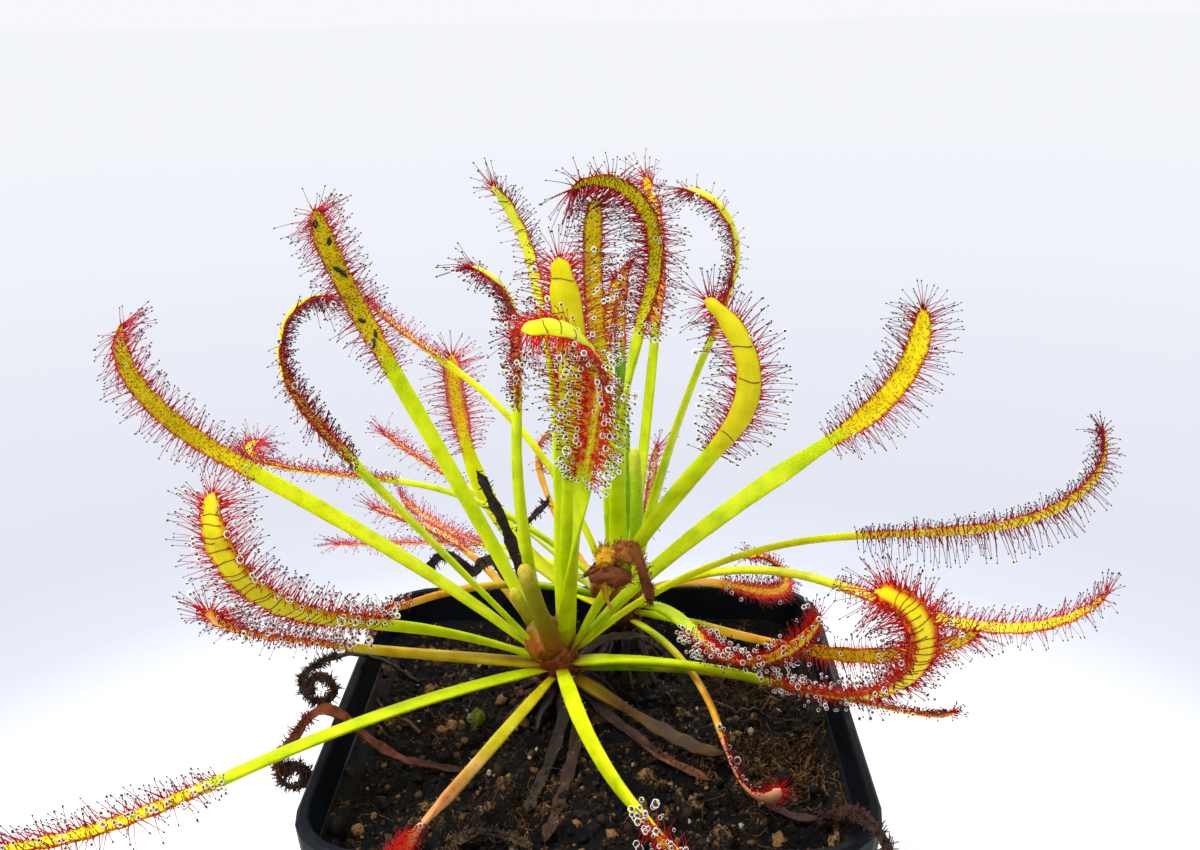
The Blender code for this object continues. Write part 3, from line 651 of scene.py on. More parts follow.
def add_hairs(shape, drops, strap, look, rng, root, direction, length, thick, long_hair, droop=0.04):
    """Tapering red hairs with a dark gland at the end, some of them with a dew drop."""
    count = len(root)
    length = length * (1 - look.fall * direction[:, 2])
    side = unit(rng.normal(size=(count, 3)))
    bend = unit(np.cross(direction, side)) * (rng.uniform(-0.16, 0.16, count) * length)[:, None]
    bend[:, 2] -= (droop + 0.3 * look.fall) * length
    gland_long = (0.42 if long_hair else 0.26) * rng.uniform(0.8, 1.15, count)
    gland_wide = (0.14 if long_hair else 0.105) * rng.uniform(0.85, 1.15, count)
    neck = root + direction * length[:, None] + bend
    ahead = unit(direction * length[:, None] + 2 * bend)
    stations, radii, reach = [root - direction * 0.1], [np.zeros(count)], [0.0]
    for t, wide in ((0.0, 1.3), (0.5, 0.62), (1.0, 0.4)) if long_hair else ((0.0, 1.2), (1.0, 0.6)):
        stations.append(root + direction * (length * t)[:, None] + bend * t * t)
        radii.append(thick * wide)
        reach.append(0.88 * t)
    for t, wide in ((0.3, 1.0), (0.75, 0.85), (1.0, 0.0)) if long_hair else ((0.45, 1.0), (1.0, 0.0)):
        stations.append(neck + ahead * (gland_long * t)[:, None])
        radii.append(gland_wide * wide)
        reach.append(1.1)
    tone = rng.uniform(size=count)
    lay_tubes(shape, np.stack(stations, 1), np.stack(radii, 1), 3, reach, tone[:, None])
    wet = rng.uniform(size=count) < look.dew * (1.3 - strap_share(strap, root)) * (1.0 if long_hair else 0.2)
    size = np.exp(rng.normal(math.log(look.drop), 0.26, count)) * (1.0 if long_hair else 0.75)
    if wet.any():
        centre = neck + ahead * (gland_long * 0.5)[:, None]
        drops.append((centre[wet], np.stack([size, size, size * rng.uniform(0.98, 1.18, count)], 1)[wet]))


def hair_rows(strap, look, rng):
    """All the gland hairs of one leaf: margins, face, tip and the dark lines that cross its back."""
    hairs, drops = Shape("reach", "tone"), []
    start, end = strap.blade_from - 2.5, strap.length - 0.5
    blade_long = end - start

    def row(x, spacing, share, lift_angle, lean, thick, long_hair, droop=0.04, side_up=1.0):
        count = max(2, int(blade_long / (spacing / look.dense)))
        places = np.linspace(start, end, count) + rng.uniform(-0.45, 0.45, count) * spacing
        spots = np.clip(x + rng.normal(0, 0.07 if abs(x) < 0.95 else 0.01, count), -1, 1)
        root, across, lift, along = skin_at(strap, places, spots, np.full(count, side_up), CUP)
        tilt = np.radians(lift_angle + rng.normal(0, 13, count))
        out = across * (np.sign(x) * np.cos(tilt))[:, None] + lift * np.sin(tilt)[:, None]
        b = (places - start) / blade_long
        slant = np.radians(lean + 26 * b * b + rng.normal(0, 10, count))
        full = look.reach * (3.0 + 2.4 * np.clip(b / 0.25, 0, 1) + 0.9 * b * b)
        length = full * share * rng.uniform(0.72, 1.15, count)
        add_hairs(hairs, drops, strap, look, rng, root, unit(out + along * np.tan(slant)[:, None]), length,
                  thick * rng.uniform(0.85, 1.15, count), long_hair, droop)

    hanging = (0.8, 0.78, -48, 4, 0.12) if look.fall > 0.3 else (1.9 * look.dense, 0.72, -38, 4, 0.07)
    rows = [(0.99, *hanging, True, 0.14), (0.97, 0.58, 1.0, 10, 4, 0.1, True),
            (0.9, 0.74, 0.72, 34, 4, 0.1, True), (0.7, 1.1, 0.36, 58, 6, 0.09, True),
            (0.38, 1.15, 0.1, 78, 8, 0.06, False)]
    if look.back:
        rows += [(0.93, 1.0, 0.55 * look.back, -44, 4, 0.1, True, 0.1, -1.0),
                 (0.72, 1.3, 0.26 * look.back, -66, 4, 0.12, False, 0.1, -1.0)]
    for side in (-1, 1):
        for x, *rest in rows:
            row(side * x, *rest)
    row(0.0, 0.95, 0.08, 86, 8, 0.055, False)

    # a fan of the longest hairs round the tip
    count = 18
    turn = np.radians(np.linspace(-78, 78, count) + rng.normal(0, 5, count))
    sideways, onward = np.sin(turn), np.cos(turn)
    places = strap.length - 0.25 - 2.2 * np.abs(sideways) ** 2
    root, across, lift, along = skin_at(strap, places, sideways * 0.9, np.ones(count), CUP)
    tilt = np.radians(14 + rng.normal(0, 16, count))
    direction = unit((across * sideways[:, None] + along * onward[:, None]) * np.cos(tilt)[:, None]
                     + lift * np.sin(tilt)[:, None])
    length = (look.reach * 5.0 + 1.6) * rng.uniform(0.8, 1.15, count)
    add_hairs(hairs, drops, strap, look, rng, root, direction, length, 0.1 * np.ones(count), True)

    # thin dark lines across the back, closest together near the stalk
    count = int(blade_long / 10 * look.lines)
    if count:
        share = (np.arange(count) + rng.uniform(0.1, 0.9, count)) / count
        places = start + 1.5 + (blade_long - 4) * share ** 1.25
        slant = rng.normal(0.2, 0.2, count)
        first = np.where(rng.uniform(size=count) < 0.12, rng.uniform(-0.4, 0.2, count), -1.0)
        paths = []
        for t in np.linspace(0, 1, 9):
            x = first + (1.0 - first) * t
            shift = slant * (x + 1) * 0.8 + 0.22 * np.sin(2.5 * x + share * 40)
            point, _, lift, _ = skin_at(strap, places + shift, x, -np.ones(count), CUP)
            paths.append(point - lift * 0.01)
        radii = 0.1 * np.array([0, 1, .9, .8, .75, .8, .9, 1, 0])
        lay_tubes(hairs, np.stack(paths, 1), radii, 3, 0.84, rng.uniform(size=(count, 1)))
    return hairs, drops


def lay_fuzz(strap, rng, per_mm, low, high):
    """Short pale hairs on a stalk."""
    count = int((high - low) * per_mm)
    places = rng.uniform(low, high, count)
    at_margin = rng.uniform(size=count) < 0.6
    x = np.where(at_margin, np.sign(rng.uniform(-1, 1, count)) * 0.98, rng.uniform(-1, 1, count))
    up = np.where(rng.uniform(size=count) < 0.5, 1.0, -1.0)
    root, across, lift, along = skin_at(strap, places, x, up, 0.0)
    direction = unit(across * x[:, None] + lift * (up * (1.1 - np.abs(x)))[:, None]
                     + along * rng.uniform(-0.2, 0.7, count)[:, None])
    length = rng.uniform(0.3, 0.8, count)[:, None]
    middle, tip = root + direction * (length * 0.6) + lift * 0.05, root + direction * length
    steps = [root - direction * 0.05, root, middle, tip]
    shape = Shape()
    lay_tubes(shape, np.stack(steps, 1), (0, 0.024, 0.018, 0), 3)
    return shape


def caught_gnats(strap, rng, label):
    """Small dark insects stuck on the face of a blade."""
    p = Paint("gnat")
    tone = p.noise(p.place(2))
    p.coat(p.ramp(tone, (0.35, 0.65), "#0a0806 #362c12"), 0.5, tone, 0.3, 0.7, 0.4, 0.7)
    body, faces = ball(10, 7)
    shape = Shape()
    for share in (0.1, 0.14, 0.24, 0.52, 0.56, 0.73, 0.9):
        place = np.array([strap.blade_from + share * (strap.length - strap.blade_from)])
        on_skin = skin_at(strap, place, rng.uniform(-0.5, 0.5, 1), np.ones(1), CUP)
        root, across, lift, along = (v[0] for v in on_skin)
        size = rng.uniform(0.5, 1.0)
        bulge = 1 + np.array([0.5 * noise.noise(Vector(v) * 1.6 + Vector((share * 50, 0, 0))) for v in body])
        turn = rng.uniform(-0.9, 0.9)
        axes = np.array([along * math.cos(turn) + across * math.sin(turn),
                         across * math.cos(turn) - along * math.sin(turn), lift])
        lump = body * bulge[:, None] * (1.3 * size, 0.6 * size, 0.45 * size)
        shape.add(root + lift * 0.3 + lump @ axes, faces)
    shape.piece(f"gnats_{label}", p.material, "dead_leaf")


def build_leaves():
    materials = {name: hair_material(f"{name}_hairs", colours) for name, colours in HAIRS.items()}
    dew, fuzz = dew_material(), fuzz_material()
    drop, drop_faces = ball(8, 4)
    slots = {s["node"]: s["material_slot"] for s in frame["record"]["subparts"] if "material_slot" in s}
    for index, (label, look) in enumerate(sorted(LOOKS.items())):
        rng = np.random.default_rng(LEAF_SEED + index)
        node = f"leaf_{label}"
        strap = Strap(node)
        near = (strap.blade_from - 8, strap.blade_from)
        strap.width = strap.width * np.interp(strap.stations, near, (look.stem, look.slim))
        thicker = np.interp(strap.stations, near, (look.stem, 1.0))
        strap.face, strap.keel = strap.face * thicker, strap.keel * thicker
        skin = "_".join(map(str, ("skin", look.stalk, look.blade, look.hairs, look.flush, look.back, look.dots,
                                  look.under))).replace(".", "_").replace(">", "_to_")
        if skin not in materials:
            materials[skin] = leaf_material(skin, look)
        body = leaf_body(strap, rng.uniform(0, 6))
        body.piece(f"blade_{label}", materials[skin], slots.get(node, "leaf_green"), node)
        if look.hairs:
            hairs, drops = hair_rows(strap, look, rng)
            hairs.piece(f"tentacles_{label}", materials[look.hairs], "tentacle")
            if drops:
                centres, sizes = (np.concatenate(part)[:, None] for part in zip(*drops))
                wet = Shape()
                wet.add(centres + drop[None] * sizes, copies(drop_faces, len(centres), len(drop)))
                wet.piece(f"dew_{label}", dew, "dew")
        if label == "left_upper":
            caught_gnats(strap, rng, label)
        lay_fuzz(strap, rng, 0.8, 6, strap.blade_from).piece(f"fuzz_{label}", fuzz, "leaf_hair")


build_leaves()


# ---------------------------------------------------------------- dead leaves, young leaves and crowns
# colours of the foot, middle and tip, fuzz hairs per mm and where they start, crumple in mm, depth of shade
Dead = namedtuple("Dead", "colours fuzz fuzz_from crumple shade", defaults=(0, 0, 0, 0.85))
DEAD = {
    "left_red": Dead("#462212 #aa5426 #462c20", 34, 0.55, 0.3),
    "left_black": Dead("#1e1511 #3e2a20 #54382a", 36, 0.42, 0.3, 0.6),
    "front_strip_left": Dead("#2c2012 #32241a #50402c", 4, 0.6, 0.3),
    "front_strip_right": Dead("#2a1810 #462a1e #543a26", 2, 0.7, 0.3),
    "front_lying": Dead("#705838 #3c2a20 #60462c", 20, 0.0, 0.45),
    "right_arch": Dead("#362a1c #423424 #221812", 4, 0.4, 0.35),
    "right_strip": Dead("#36241a #4e3222 #8c5432", 4, 0.6, 0.25),
    "front_right": Dead("#422a22 #5c382c #42261e", 20, 0.3, 0.3),
    "stalk_tall": Dead("#281c14 #241812 #1a1412", 3, 0.1, 0.3),
    "stalk_short": Dead("#342014 #3c281c #2c1e16", 10, 0.1, 0.35),
    "rear_fold": Dead("#e6ac0c #b86828 #783a14", 14, 0.4, 0.5, 0.5),
    "rear_left": Dead("#302218 #3c2a1e #221814", 9, 0.2, 0.45),
}
RAGS = Dead("#2c1c14 #3e2a20 #54402e")
# colours of a young leaf from its foot to its round top
YOUNG = {
    "tall": "#96960a #a0c408 #b0d014 #d4d83c",
    "rolled": "#965408 #8c7c08 #9e960e #d6c438",
    "small": "#785408 #86780a #a09c14 #decc34",
}
PEAT_LEVEL = 70.5  # usual height of the peat
CROWNS = {"front": 78.6, "rear": 83.0}  # where each crown's knot of leaf bases starts
LOBE_SIZE, LOBE_SHIFT = (3.5, 3.0, 4.8), (-2.5, -2.6, 8.8)  # the soft lump the young leaves grow from
# middle, half sizes and colour of the lumps in the crumpled tip of the folded dead leaf
CLUMP = (((3.1, 0.0, 106.4), (1.9, 1.1, 2.1), 0.06), ((5.8, 0.2, 107.2), (2.5, 1.3, 1.5), 0.45),
         ((3.8, -0.2, 103.6), (3.6, 1.7, 1.9), 0.8), ((1.2, 0.2, 104.4), (1.6, 1.2, 1.2), 0.9))
DEAD_VALUES = ("along", "share", "across", "face")


def dead_material(name, look):
    p = Paint(name)
    grain, blotch = p.noise(p.lines(0.12, 6.0), 5.0, 0.65), p.noise(p.place(0.5), 4.0, 0.6)
    share = p.plus(p.value("share"), p.span(blotch, 0.2, 0.8, -0.14, 0.14))
    dark = p.span(p.weigh(grain, 0.55, blotch), 0.38, 0.6, look.shade, 0.0)
    colour = p.mix(dark, p.ramp(share, (0.12, 0.5, 0.85), look.colours), "#100a08")
    flecks = p.times(p.span(p.cells(p.place(1.6)), 0.12, 0.2, 1.0, 0.0), p.span(blotch, 0.5, 0.6), 0.55)
    p.coat(p.mix(flecks, colour, "#b08c5a"), 0.3, grain, 0.3, 0.7, 0.5, 0.8)
    return p.bump(p.plus(grain, blotch), 0.3, 0.8).material


def dead_leaf(label, look, index):
    """A crumpled dead leaf, with short brown fuzz where its gland hairs were."""
    rng = np.random.default_rng(DEAD_SEED + index)
    strap = Strap(f"dead_{label}")
    places = np.linspace(0.5, strap.length - 0.4, max(24, int(strap.length / 0.6)))
    share = places / strap.length
    centre, across, lift, _, width, face, keel = strap.at(places)
    curl = 0.32 + 0.25 * np.sin(places * 0.5 + index)
    width = (width * (1.1 + 0.22 * np.sin(places * 0.9 + index) * share))[:, None]
    height = section_point(SIDE, ON_FACE, face[:, None] * 0.8, keel[:, None] * 0.7, width, curl[:, None])
    rings = rings_at(centre, across, lift, SIDE * width / 2, height + 0.08 * np.cos(SIDE * 9) * (ON_FACE > 0))
    leaf, fuzz = Shape(*DEAD_VALUES), Shape(*DEAD_VALUES)
    add_skin(leaf, strap.line, rings, (places, share), (SIDE, (ON_FACE + 1) / 2),
             (look.crumple, 0.45, index * 7.0), (0.5 * look.crumple, 1.3, index * 5.0))
    count = int(strap.length * (1 - look.fuzz_from) * look.fuzz)
    where = rng.uniform(look.fuzz_from * strap.length, strap.length - 0.4, count)
    x = rng.uniform(-1, 1, count)
    up = np.where(rng.uniform(size=count) < 0.72, 1.0, -1.0)
    root, across, lift, _ = skin_at(strap, where, x, up, 0.0)
    direction = unit(across * x[:, None] * 1.1 + lift * (up * (1.15 - np.abs(x)))[:, None]
                     + rng.normal(0, 0.45, (count, 3)))
    length = rng.uniform(0.25, 0.95, count)[:, None]
    tip = root + direction * length + rng.normal(0, 0.4, (count, 3)) * length
    paths = np.stack([root - direction * 0.2, root, tip, tip + direction * 0.1], 1)
    lay_tubes(fuzz, paths, (0, 0.12, 0.09, 0), 3,
              where[:, None], (where / strap.length)[:, None], x[:, None], 1.0)
    material = dead_material(f"dead_{label}", look)
    leaf.piece(f"dead_leaf_{label}", material, "dead_leaf", f"dead_{label}")
    fuzz.piece(f"dead_fuzz_{label}", material, "dead_leaf")


def dead_clump():
    """Crumpled lumps, matted with old hairs."""
    rng = np.random.default_rng(CLUMP_SEED)
    clump = Shape(*DEAD_VALUES)
    lump, faces = ball(20, 14)
    for centre, size, share in CLUMP:
        body = crumple(crumple(lump * size + centre, 1.3, 0.5, share * 9), 0.5, 1.6, 4.0)
        clump.add(body, faces, 6 * lump[:, 0], share, lump[:, 1], lump[:, 2])
        count = 60
        root = body[rng.integers(0, len(body), count)]
        direction = unit(root - centre + rng.normal(0, 0.6, (count, 3)))
        length = rng.uniform(0.4, 1.2, count)[:, None]
        steps = [root + direction * far for far in (-0.2, 0.0, length * 0.6, length, length + 0.1)]
        lay_tubes(clump, np.stack(steps, 1), (0, 0.12, 0.07, 0.08, 0), 3, 1.0, max(share, 0.5), 0.0, 1.0)
    clump.piece("dead_clump", bpy.data.materials["dead_rear_fold"], "dead_leaf")


def young_leaf(label, colours, index):
    """A leaf still rolled up: a stiff column with a seam and a round, granular top."""
    node = f"young_leaf_{label}"
    strap = Strap(node)
    dome_from = strap.length - 2.0
    dome_places = strap.length - 2.0 * (1 - np.linspace(0.2, 0.98, 7))
    places = np.concatenate([np.linspace(0.3, dome_from, 22), dome_places])
    angle = circle(16)
    centre, across, lift, _, width, _, _ = strap.at(places)
    radius = width.max() / 2 * (0.82 if label == "tall" else 1.0) * (1.0 - 0.2 * (places / strap.length))
    dome = np.sqrt(np.clip(1 - np.clip((places - dome_from) / 2.05, 0, 1) ** 2, 0.02, 1))
    from_seam = (angle - math.pi / 2 + 0.5 + math.pi) % math.tau - math.pi
    ring = (radius * dome)[:, None] * (1 - 0.22 * np.exp(-(from_seam / 0.3) ** 2))
    x, y = np.cos(angle), np.sin(angle)
    shape = Shape("along", "across", "face")
    add_skin(shape, strap.line, rings_at(centre, across, lift, ring * x, ring * y), (places,), (x, y),
             (0.12, 0.8, index))
    p = Paint(node + "_skin")
    blotch, grains = p.noise(p.place(0.6)), p.noise(p.place(3), 2.0)
    part = p.chain("DIVIDE", p.value("along"), float(strap.length))
    part = p.plus(part, p.span(blotch, 0.2, 0.8, -0.12, 0.12))
    body = p.ramp(part, (0.1, 0.38, 0.75, 0.93), colours)
    colour = p.mix(p.span(grains, 0.3, 0.55, 0.3, 0.0), body, "#605604")
    p.coat(colour, 0.3, grains, 0.3, 0.7, 0.4, 0.65).flesh(0.15, 0.9, 0.8, 0.2).bump(grains, 0.18, 0.8)
    shape.piece(f"young_{label}", p.material, "leaf_green", node)


def spokes(rng, count):
    """Random headings round the crown: angle, outward direction and sideways direction."""
    turn = rng.uniform(0, math.tau, count)
    cos, sin, flat = np.cos(turn), np.sin(turn), np.zeros(count)
    return turn, np.stack([cos, sin, flat], 1), np.stack([-sin, cos, flat], 1)


def crown_knot(name, foot, index):
    """A soft knot of leaf bases. Returns the crown's middle and the height of its top."""
    low, high = (np.array(c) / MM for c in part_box(f"{name}_crown"))
    (mid_x, mid_y, _), top = (low + high) / 2, high[2]
    p = Paint(f"{name}_knot")
    grain = p.noise(p.place(0.5, 0.5, 0.25), 4.0, 0.6, 1.6)
    level = p.plus(p.value("along"), p.span(grain, 0.3, 0.7, -0.12, 0.12))
    colour = p.ramp(level, (0.1, 0.34, 0.52, 0.74, 0.92), "#1e120c #4a1e06 #9c4808 #b2640c #96800e")
    colour = p.mix(p.span(grain, 0.34, 0.6, 0.6, 0.0), colour, "#461a04")
    p.coat(colour, 0.5, grain, 0.3, 0.7, 0.35, 0.55).flesh(0.3, 1.2, 0.6, 0.2).bump(grain, 0.35, 0.8)
    sides, rows = 36, 30
    below, above = np.linspace(low[2] + 0.2, foot - 2, 8), np.linspace(foot - 1.5, top + 1.6, rows - 8)
    heights = np.concatenate([below, above])
    angle = circle(sides)
    share = np.clip((heights - (foot - 3)) / (top + 1.9 - foot + 3), 0, 1)
    radius = 1.7 + 2.2 * np.sin(np.pi * np.minimum(share * 1.05, 1)) ** 0.8 - 1.2 * share ** 4
    radius = radius[:, None] * (1 + 0.08 * np.cos(5 * angle) + 0.05 * np.cos(8 * angle + 1))
    drift = share[:, None]
    ring = np.stack([mid_x - 0.9 * drift + radius * np.cos(angle), mid_y - 0.5 * drift + radius * np.sin(angle),
                     np.repeat(heights[:, None], sides, 1)], -1)
    start, end = (mid_x, mid_y, low[2]), (mid_x - 0.9, mid_y - 0.5, top + 1.9)
    points = np.concatenate([[start], ring.reshape(-1, 3), [end]])
    knot = Shape("along")
    knot.add(crumple(points, 0.7, 0.45, 3.0 * index), tube_faces(rows, sides),
             np.concatenate([[0.0], np.repeat(share, sides), [1.0]]))
    lump, faces = ball(30, 20)
    lobe = lump * LOBE_SIZE + (np.array([mid_x, mid_y, foot]) + LOBE_SHIFT)
    knot.add(crumple(crumple(lobe, 0.9, 0.3, 5.0 + index), 0.3, 1.1, 2.0), faces,
             np.clip(0.66 + 0.3 * lump[:, 2], 0, 1))
    knot.piece(f"knot_{name}", p.material, "crown", f"{name}_crown")
    return np.array([mid_x, mid_y, 0.0]), top


def crown(name, foot, index):
    """The knot, papery pointed scales round it, and dead strips hanging from it to the peat."""
    rng = np.random.default_rng(CROWN_SEED + index)
    middle, top = crown_knot(name, foot, index)
    p = Paint(f"{name}_scales")
    fibre = p.noise(p.place(3, 3, 0.6))
    body = p.ramp(p.value("tone"), (0.0, 0.4, 0.75, 1.0), "#3c1808 #88340c #b05414 #c48c3c")
    body = p.mix(p.span(p.value("along"), 0.6, 1.0, 0.0, 0.4), body, "#ce965a")
    colour = p.mix(p.span(fibre, 0.35, 0.65, 0.4, 0.0), body, "#3c1406")
    p.coat(colour, 0.5, fibre, 0.3, 0.7, 0.35, 0.55).flesh(0.2, 1.0, 0.5, 0.2)
    count = 150
    _, out, _ = spokes(rng, count)
    root = middle - (0.4, 0.3, 0) + out * rng.uniform(1.8, 3.6, count)[:, None]
    root[:, 2] = rng.uniform(foot - 3.0, top - 1.0, count)
    rise = np.radians(rng.uniform(20, 82, count))[:, None]
    direction, outward = out * np.cos(rise) + UP * np.sin(rise), out * np.sin(rise) - UP * np.cos(rise)
    length = rng.uniform(1.6, 4.4, count)
    curl = rng.uniform(-0.1, 0.35, count) * length
    t = np.linspace(0, 1, 7)
    far = t[None, :, None]
    paths = (root[:, None] + direction[:, None] * (length[:, None, None] * far)
             + outward[:, None] * (curl[:, None, None] * far * far))
    width = rng.uniform(0.3, 1.0, count)[:, None] * np.array([[0.8, 1.0, 1.0, 0.8, 0.5, 0.25, 0.05]])
    scales = Shape("along", "tone")
    across, tone = unit(np.cross(direction, outward)), rng.uniform(size=count)[:, None]
    lay_ribbons(scales, paths, across, width, 0.06, t, tone)
    scales.piece(f"scales_{name}", p.material, "crown")

    # dead strips and rags between the crown and the peat
    count = 30
    turn, out, sideways = spokes(rng, count)
    turn, t = turn[:, None], np.linspace(0, 1, 12)[None]
    column = lambda low, high: rng.uniform(low, high, count)[:, None]
    reach, start, floor = column(4.5, 13.0), column(foot - 3.5, foot - 0.2), PEAT_LEVEL + 0.3 + column(0, 0.6)
    run = 1.8 + (reach - 1.8) * t ** column(0.7, 1.3)
    drop = t ** column(1.1, 2.4)
    swing = rng.normal(0, 0.5, count)[:, None] * t * reach * 0.25 + 0.25 * np.sin(9 * t + turn)
    height = start + (floor - start) * drop + 0.25 * np.sin(7 * t + 2 * turn)
    paths = (middle + out[:, None] * run[..., None] + sideways[:, None] * swing[..., None]
             + UP * height[..., None])
    width = column(0.5, 2.1) * (0.55 + 0.45 * np.sin(math.pi * np.clip(t * 0.9 + 0.15, 0, 1)))
    tilt = rng.normal(0, 0.6, count)[:, None]
    rags = Shape(*DEAD_VALUES)
    lay_ribbons(rags, paths, sideways * np.cos(tilt) + UP * np.sin(tilt), width, 0.16, 10 * t, t, 0.0, turn)
    rags.piece(f"dead_rags_{name}", dead_material(f"dead_rags_{name}", RAGS), "dead_leaf")


for make, table in ((dead_leaf, DEAD), (young_leaf, YOUNG), (crown, CROWNS)):
    for index, (label, row) in enumerate(table.items()):
        make(label, row, index)
dead_clump()


# ---------------------------------------------------------------- peat and pot
PEAT_STEP = 0.42
GRAINS = 3000
WALL_SLOPE = 10.0 / 72.4  # how much the pot's half width grows with height
PEAT_CORNER = 10.4
PEAT_INSET = 2.7  # from the pot's outer rim to the peat lying on its inner ledge
PEAT_EDGE = 72.9


def height_field():
    """A function that gives the CAD peat's height at a place."""
    mesh = frame["nodes"]["soil"].data
    tree = BVHTree.FromPolygons([v.co / MM for v in mesh.vertices], [tuple(f.vertices) for f in mesh.polygons])
    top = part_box("soil")[1].z / MM

    def ground(x, y):
        hit = tree.ray_cast(Vector((x, y, top + 5)), Vector((0, 0, -1)))[0]
        return hit.z if hit is not None and hit.z > top - 6 else PEAT_LEVEL
    return ground


def clods(here, scale):
    """0 in the cracks between clods, 1 on top of them."""
    near = noise.voronoi(here * scale)[0]
    return min(1.0, (near[1] - near[0]) * 2.2)


def rough(x, y):
    """Lumps, clods and pits of the peat, in mm."""
    here = Vector((x, y, 0.0))
    bent = here + noise.noise_vector(here * 0.5) * 1.2
    lumps = noise.noise(here * 0.13) * 1.3
    big, small = clods(bent, 0.2), clods(bent + Vector((40, 0, 0)), 0.62)
    crumbs = noise.fractal(here * 0.7, 1.0, 2.1, 4) * 0.3
    return lumps + 1.9 * big * (0.6 + noise.noise(here * 0.3)) + 0.9 * small - 1.2 + 1.3 * crumbs


def peat_material():
    p = Paint("peat_skin")
    where = p.place(1)
    fine = p.noise(where, 5.0, 0.7, 1.6)
    # painted shade and light: from the relief, the pits between the lumps are painted darker and the tops of the
    # lumps lighter
    height = p.span(p.value("relief"), -1.6, 2.0, -0.16, 0.14)
    grain = p.weigh(p.noise(where, 5.0, 0.6, 0.2), 0.45, fine)
    colour = p.ramp(p.plus(grain, height), (0.44, 0.5, 0.56, 0.64), "#030202 #090604 #322315 #947046")
    moss = p.times(p.span(p.noise(where, scale=0.09), 0.6, 0.68), p.span(fine, 0.45, 0.6), 0.6)
    p.coat(p.mix(moss, colour, "#363e08"), 0.16, fine, 0.3, 0.7, 0.5, 0.95)
    return p.bump(fine, 0.5, 0.9).material


def crumb_material():
    """Crumbs and fibres: tone picks black peat, brown, tan, pale grit or moss."""
    p = Paint("peat_crumbs")
    fine = p.noise(p.place(2), 4.0)
    colour = p.ramp(p.value("tone"), (0.0, 0.35, 0.55, 0.72, 0.8, 0.88, 0.94, 1.0),
                    "#060504 #1c140e #5c422a #966e42 #aa8454 #c8bca4 #687416 #96a024")
    p.coat(p.mix(p.span(fine, 0.35, 0.58, 0.75, 0.0), colour, "#0a0705"), 0.15, fine, 0.3, 0.7, 0.55, 0.85)
    return p.bump(fine, 0.25, 0.8).material


def build_peat():
    """The block of peat. Returns its surface as a function, and half the width that litter may lie on."""
    low, high = (np.array(c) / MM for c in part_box("soil"))
    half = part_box("pot")[1].x / MM - PEAT_INSET
    count = int(2 * half / PEAT_STEP)
    ground = height_field()

    def surface(x, y):
        """Height of the loose peat, which climbs onto the pot's ledge at the wall, and its relief there."""
        lump, level = rough(x, y), ground(x * 0.93, y * 0.93)
        inward = half - max(abs(x), abs(y)) + 1.6 * noise.noise(Vector((x, y, 9.0)) * 0.16)
        climb = min(1.0, max(0.0, 1.0 - inward / 7.0)) ** 1.6
        return level + lump * (1 - 0.35 * climb) + (PEAT_EDGE + 0.3 - level) * climb, lump

    # the corners are rounded by drawing the square grid in towards them
    xs, ys = np.meshgrid(*[np.linspace(-half, half, count)] * 2, indexing="ij")
    corner = half - PEAT_CORNER
    over_x, over_y = (np.maximum(np.abs(v) - corner, 0) for v in (xs, ys))
    reach = np.hypot(over_x, over_y)
    pull = np.where(reach > 1e-6, np.maximum(over_x, over_y) / np.maximum(reach, 1e-6), 1.0)
    xs, ys = (np.sign(v) * (np.minimum(np.abs(v), corner) + over * pull)
              for v, over in ((xs, over_x), (ys, over_y)))
    zs, relief = np.vectorize(surface)(xs, ys)
    grid = np.stack([xs, ys, zs], -1).reshape(-1, 3)
    index = np.arange(count * count).reshape(count, count)
    a, b, c, d = (part.ravel() for part in (index[:-1, :-1], index[1:, :-1], index[1:, 1:], index[:-1, 1:]))
    faces = [np.stack([a, b, c], 1), np.stack([a, c, d], 1)]
    # the walls go down inside the pot
    edge = np.concatenate([index[:-1, 0], index[-1, :-1], index[:0:-1, -1], index[0, :0:-1]])
    grid[edge, 2] = np.maximum(grid[edge, 2], PEAT_EDGE + 0.1)
    previous, points = edge, [grid]
    for level, z in enumerate((PEAT_EDGE, 72.2, 66.0, 40.0, low[2])):
        factor = 1.0 if z == PEAT_EDGE else (high[0] - 0.15 - WALL_SLOPE * (70.0 - min(z, 70.0))) / half
        points.append(np.stack([grid[edge, 0] * factor, grid[edge, 1] * factor, np.full(len(edge), z)], 1))
        following = len(grid) + level * len(edge) + np.arange(len(edge))
        faces.append(np.stack([previous, following, np.roll(following, -1)], 1))
        faces.append(np.stack([previous, np.roll(following, -1), np.roll(previous, -1)], 1))
        previous = following
    points = np.concatenate(points + [[(0, 0, low[2])]])
    faces.append(np.stack([previous, 0 * previous + len(points) - 1, np.roll(previous, -1)], 1))
    peat = Shape("relief")
    peat.add(points, np.concatenate(faces), np.concatenate([relief.ravel(), np.zeros(len(points) - len(grid))]))
    peat.piece("peat", peat_material(), "peat", "soil")
    return surface, half - 0.7


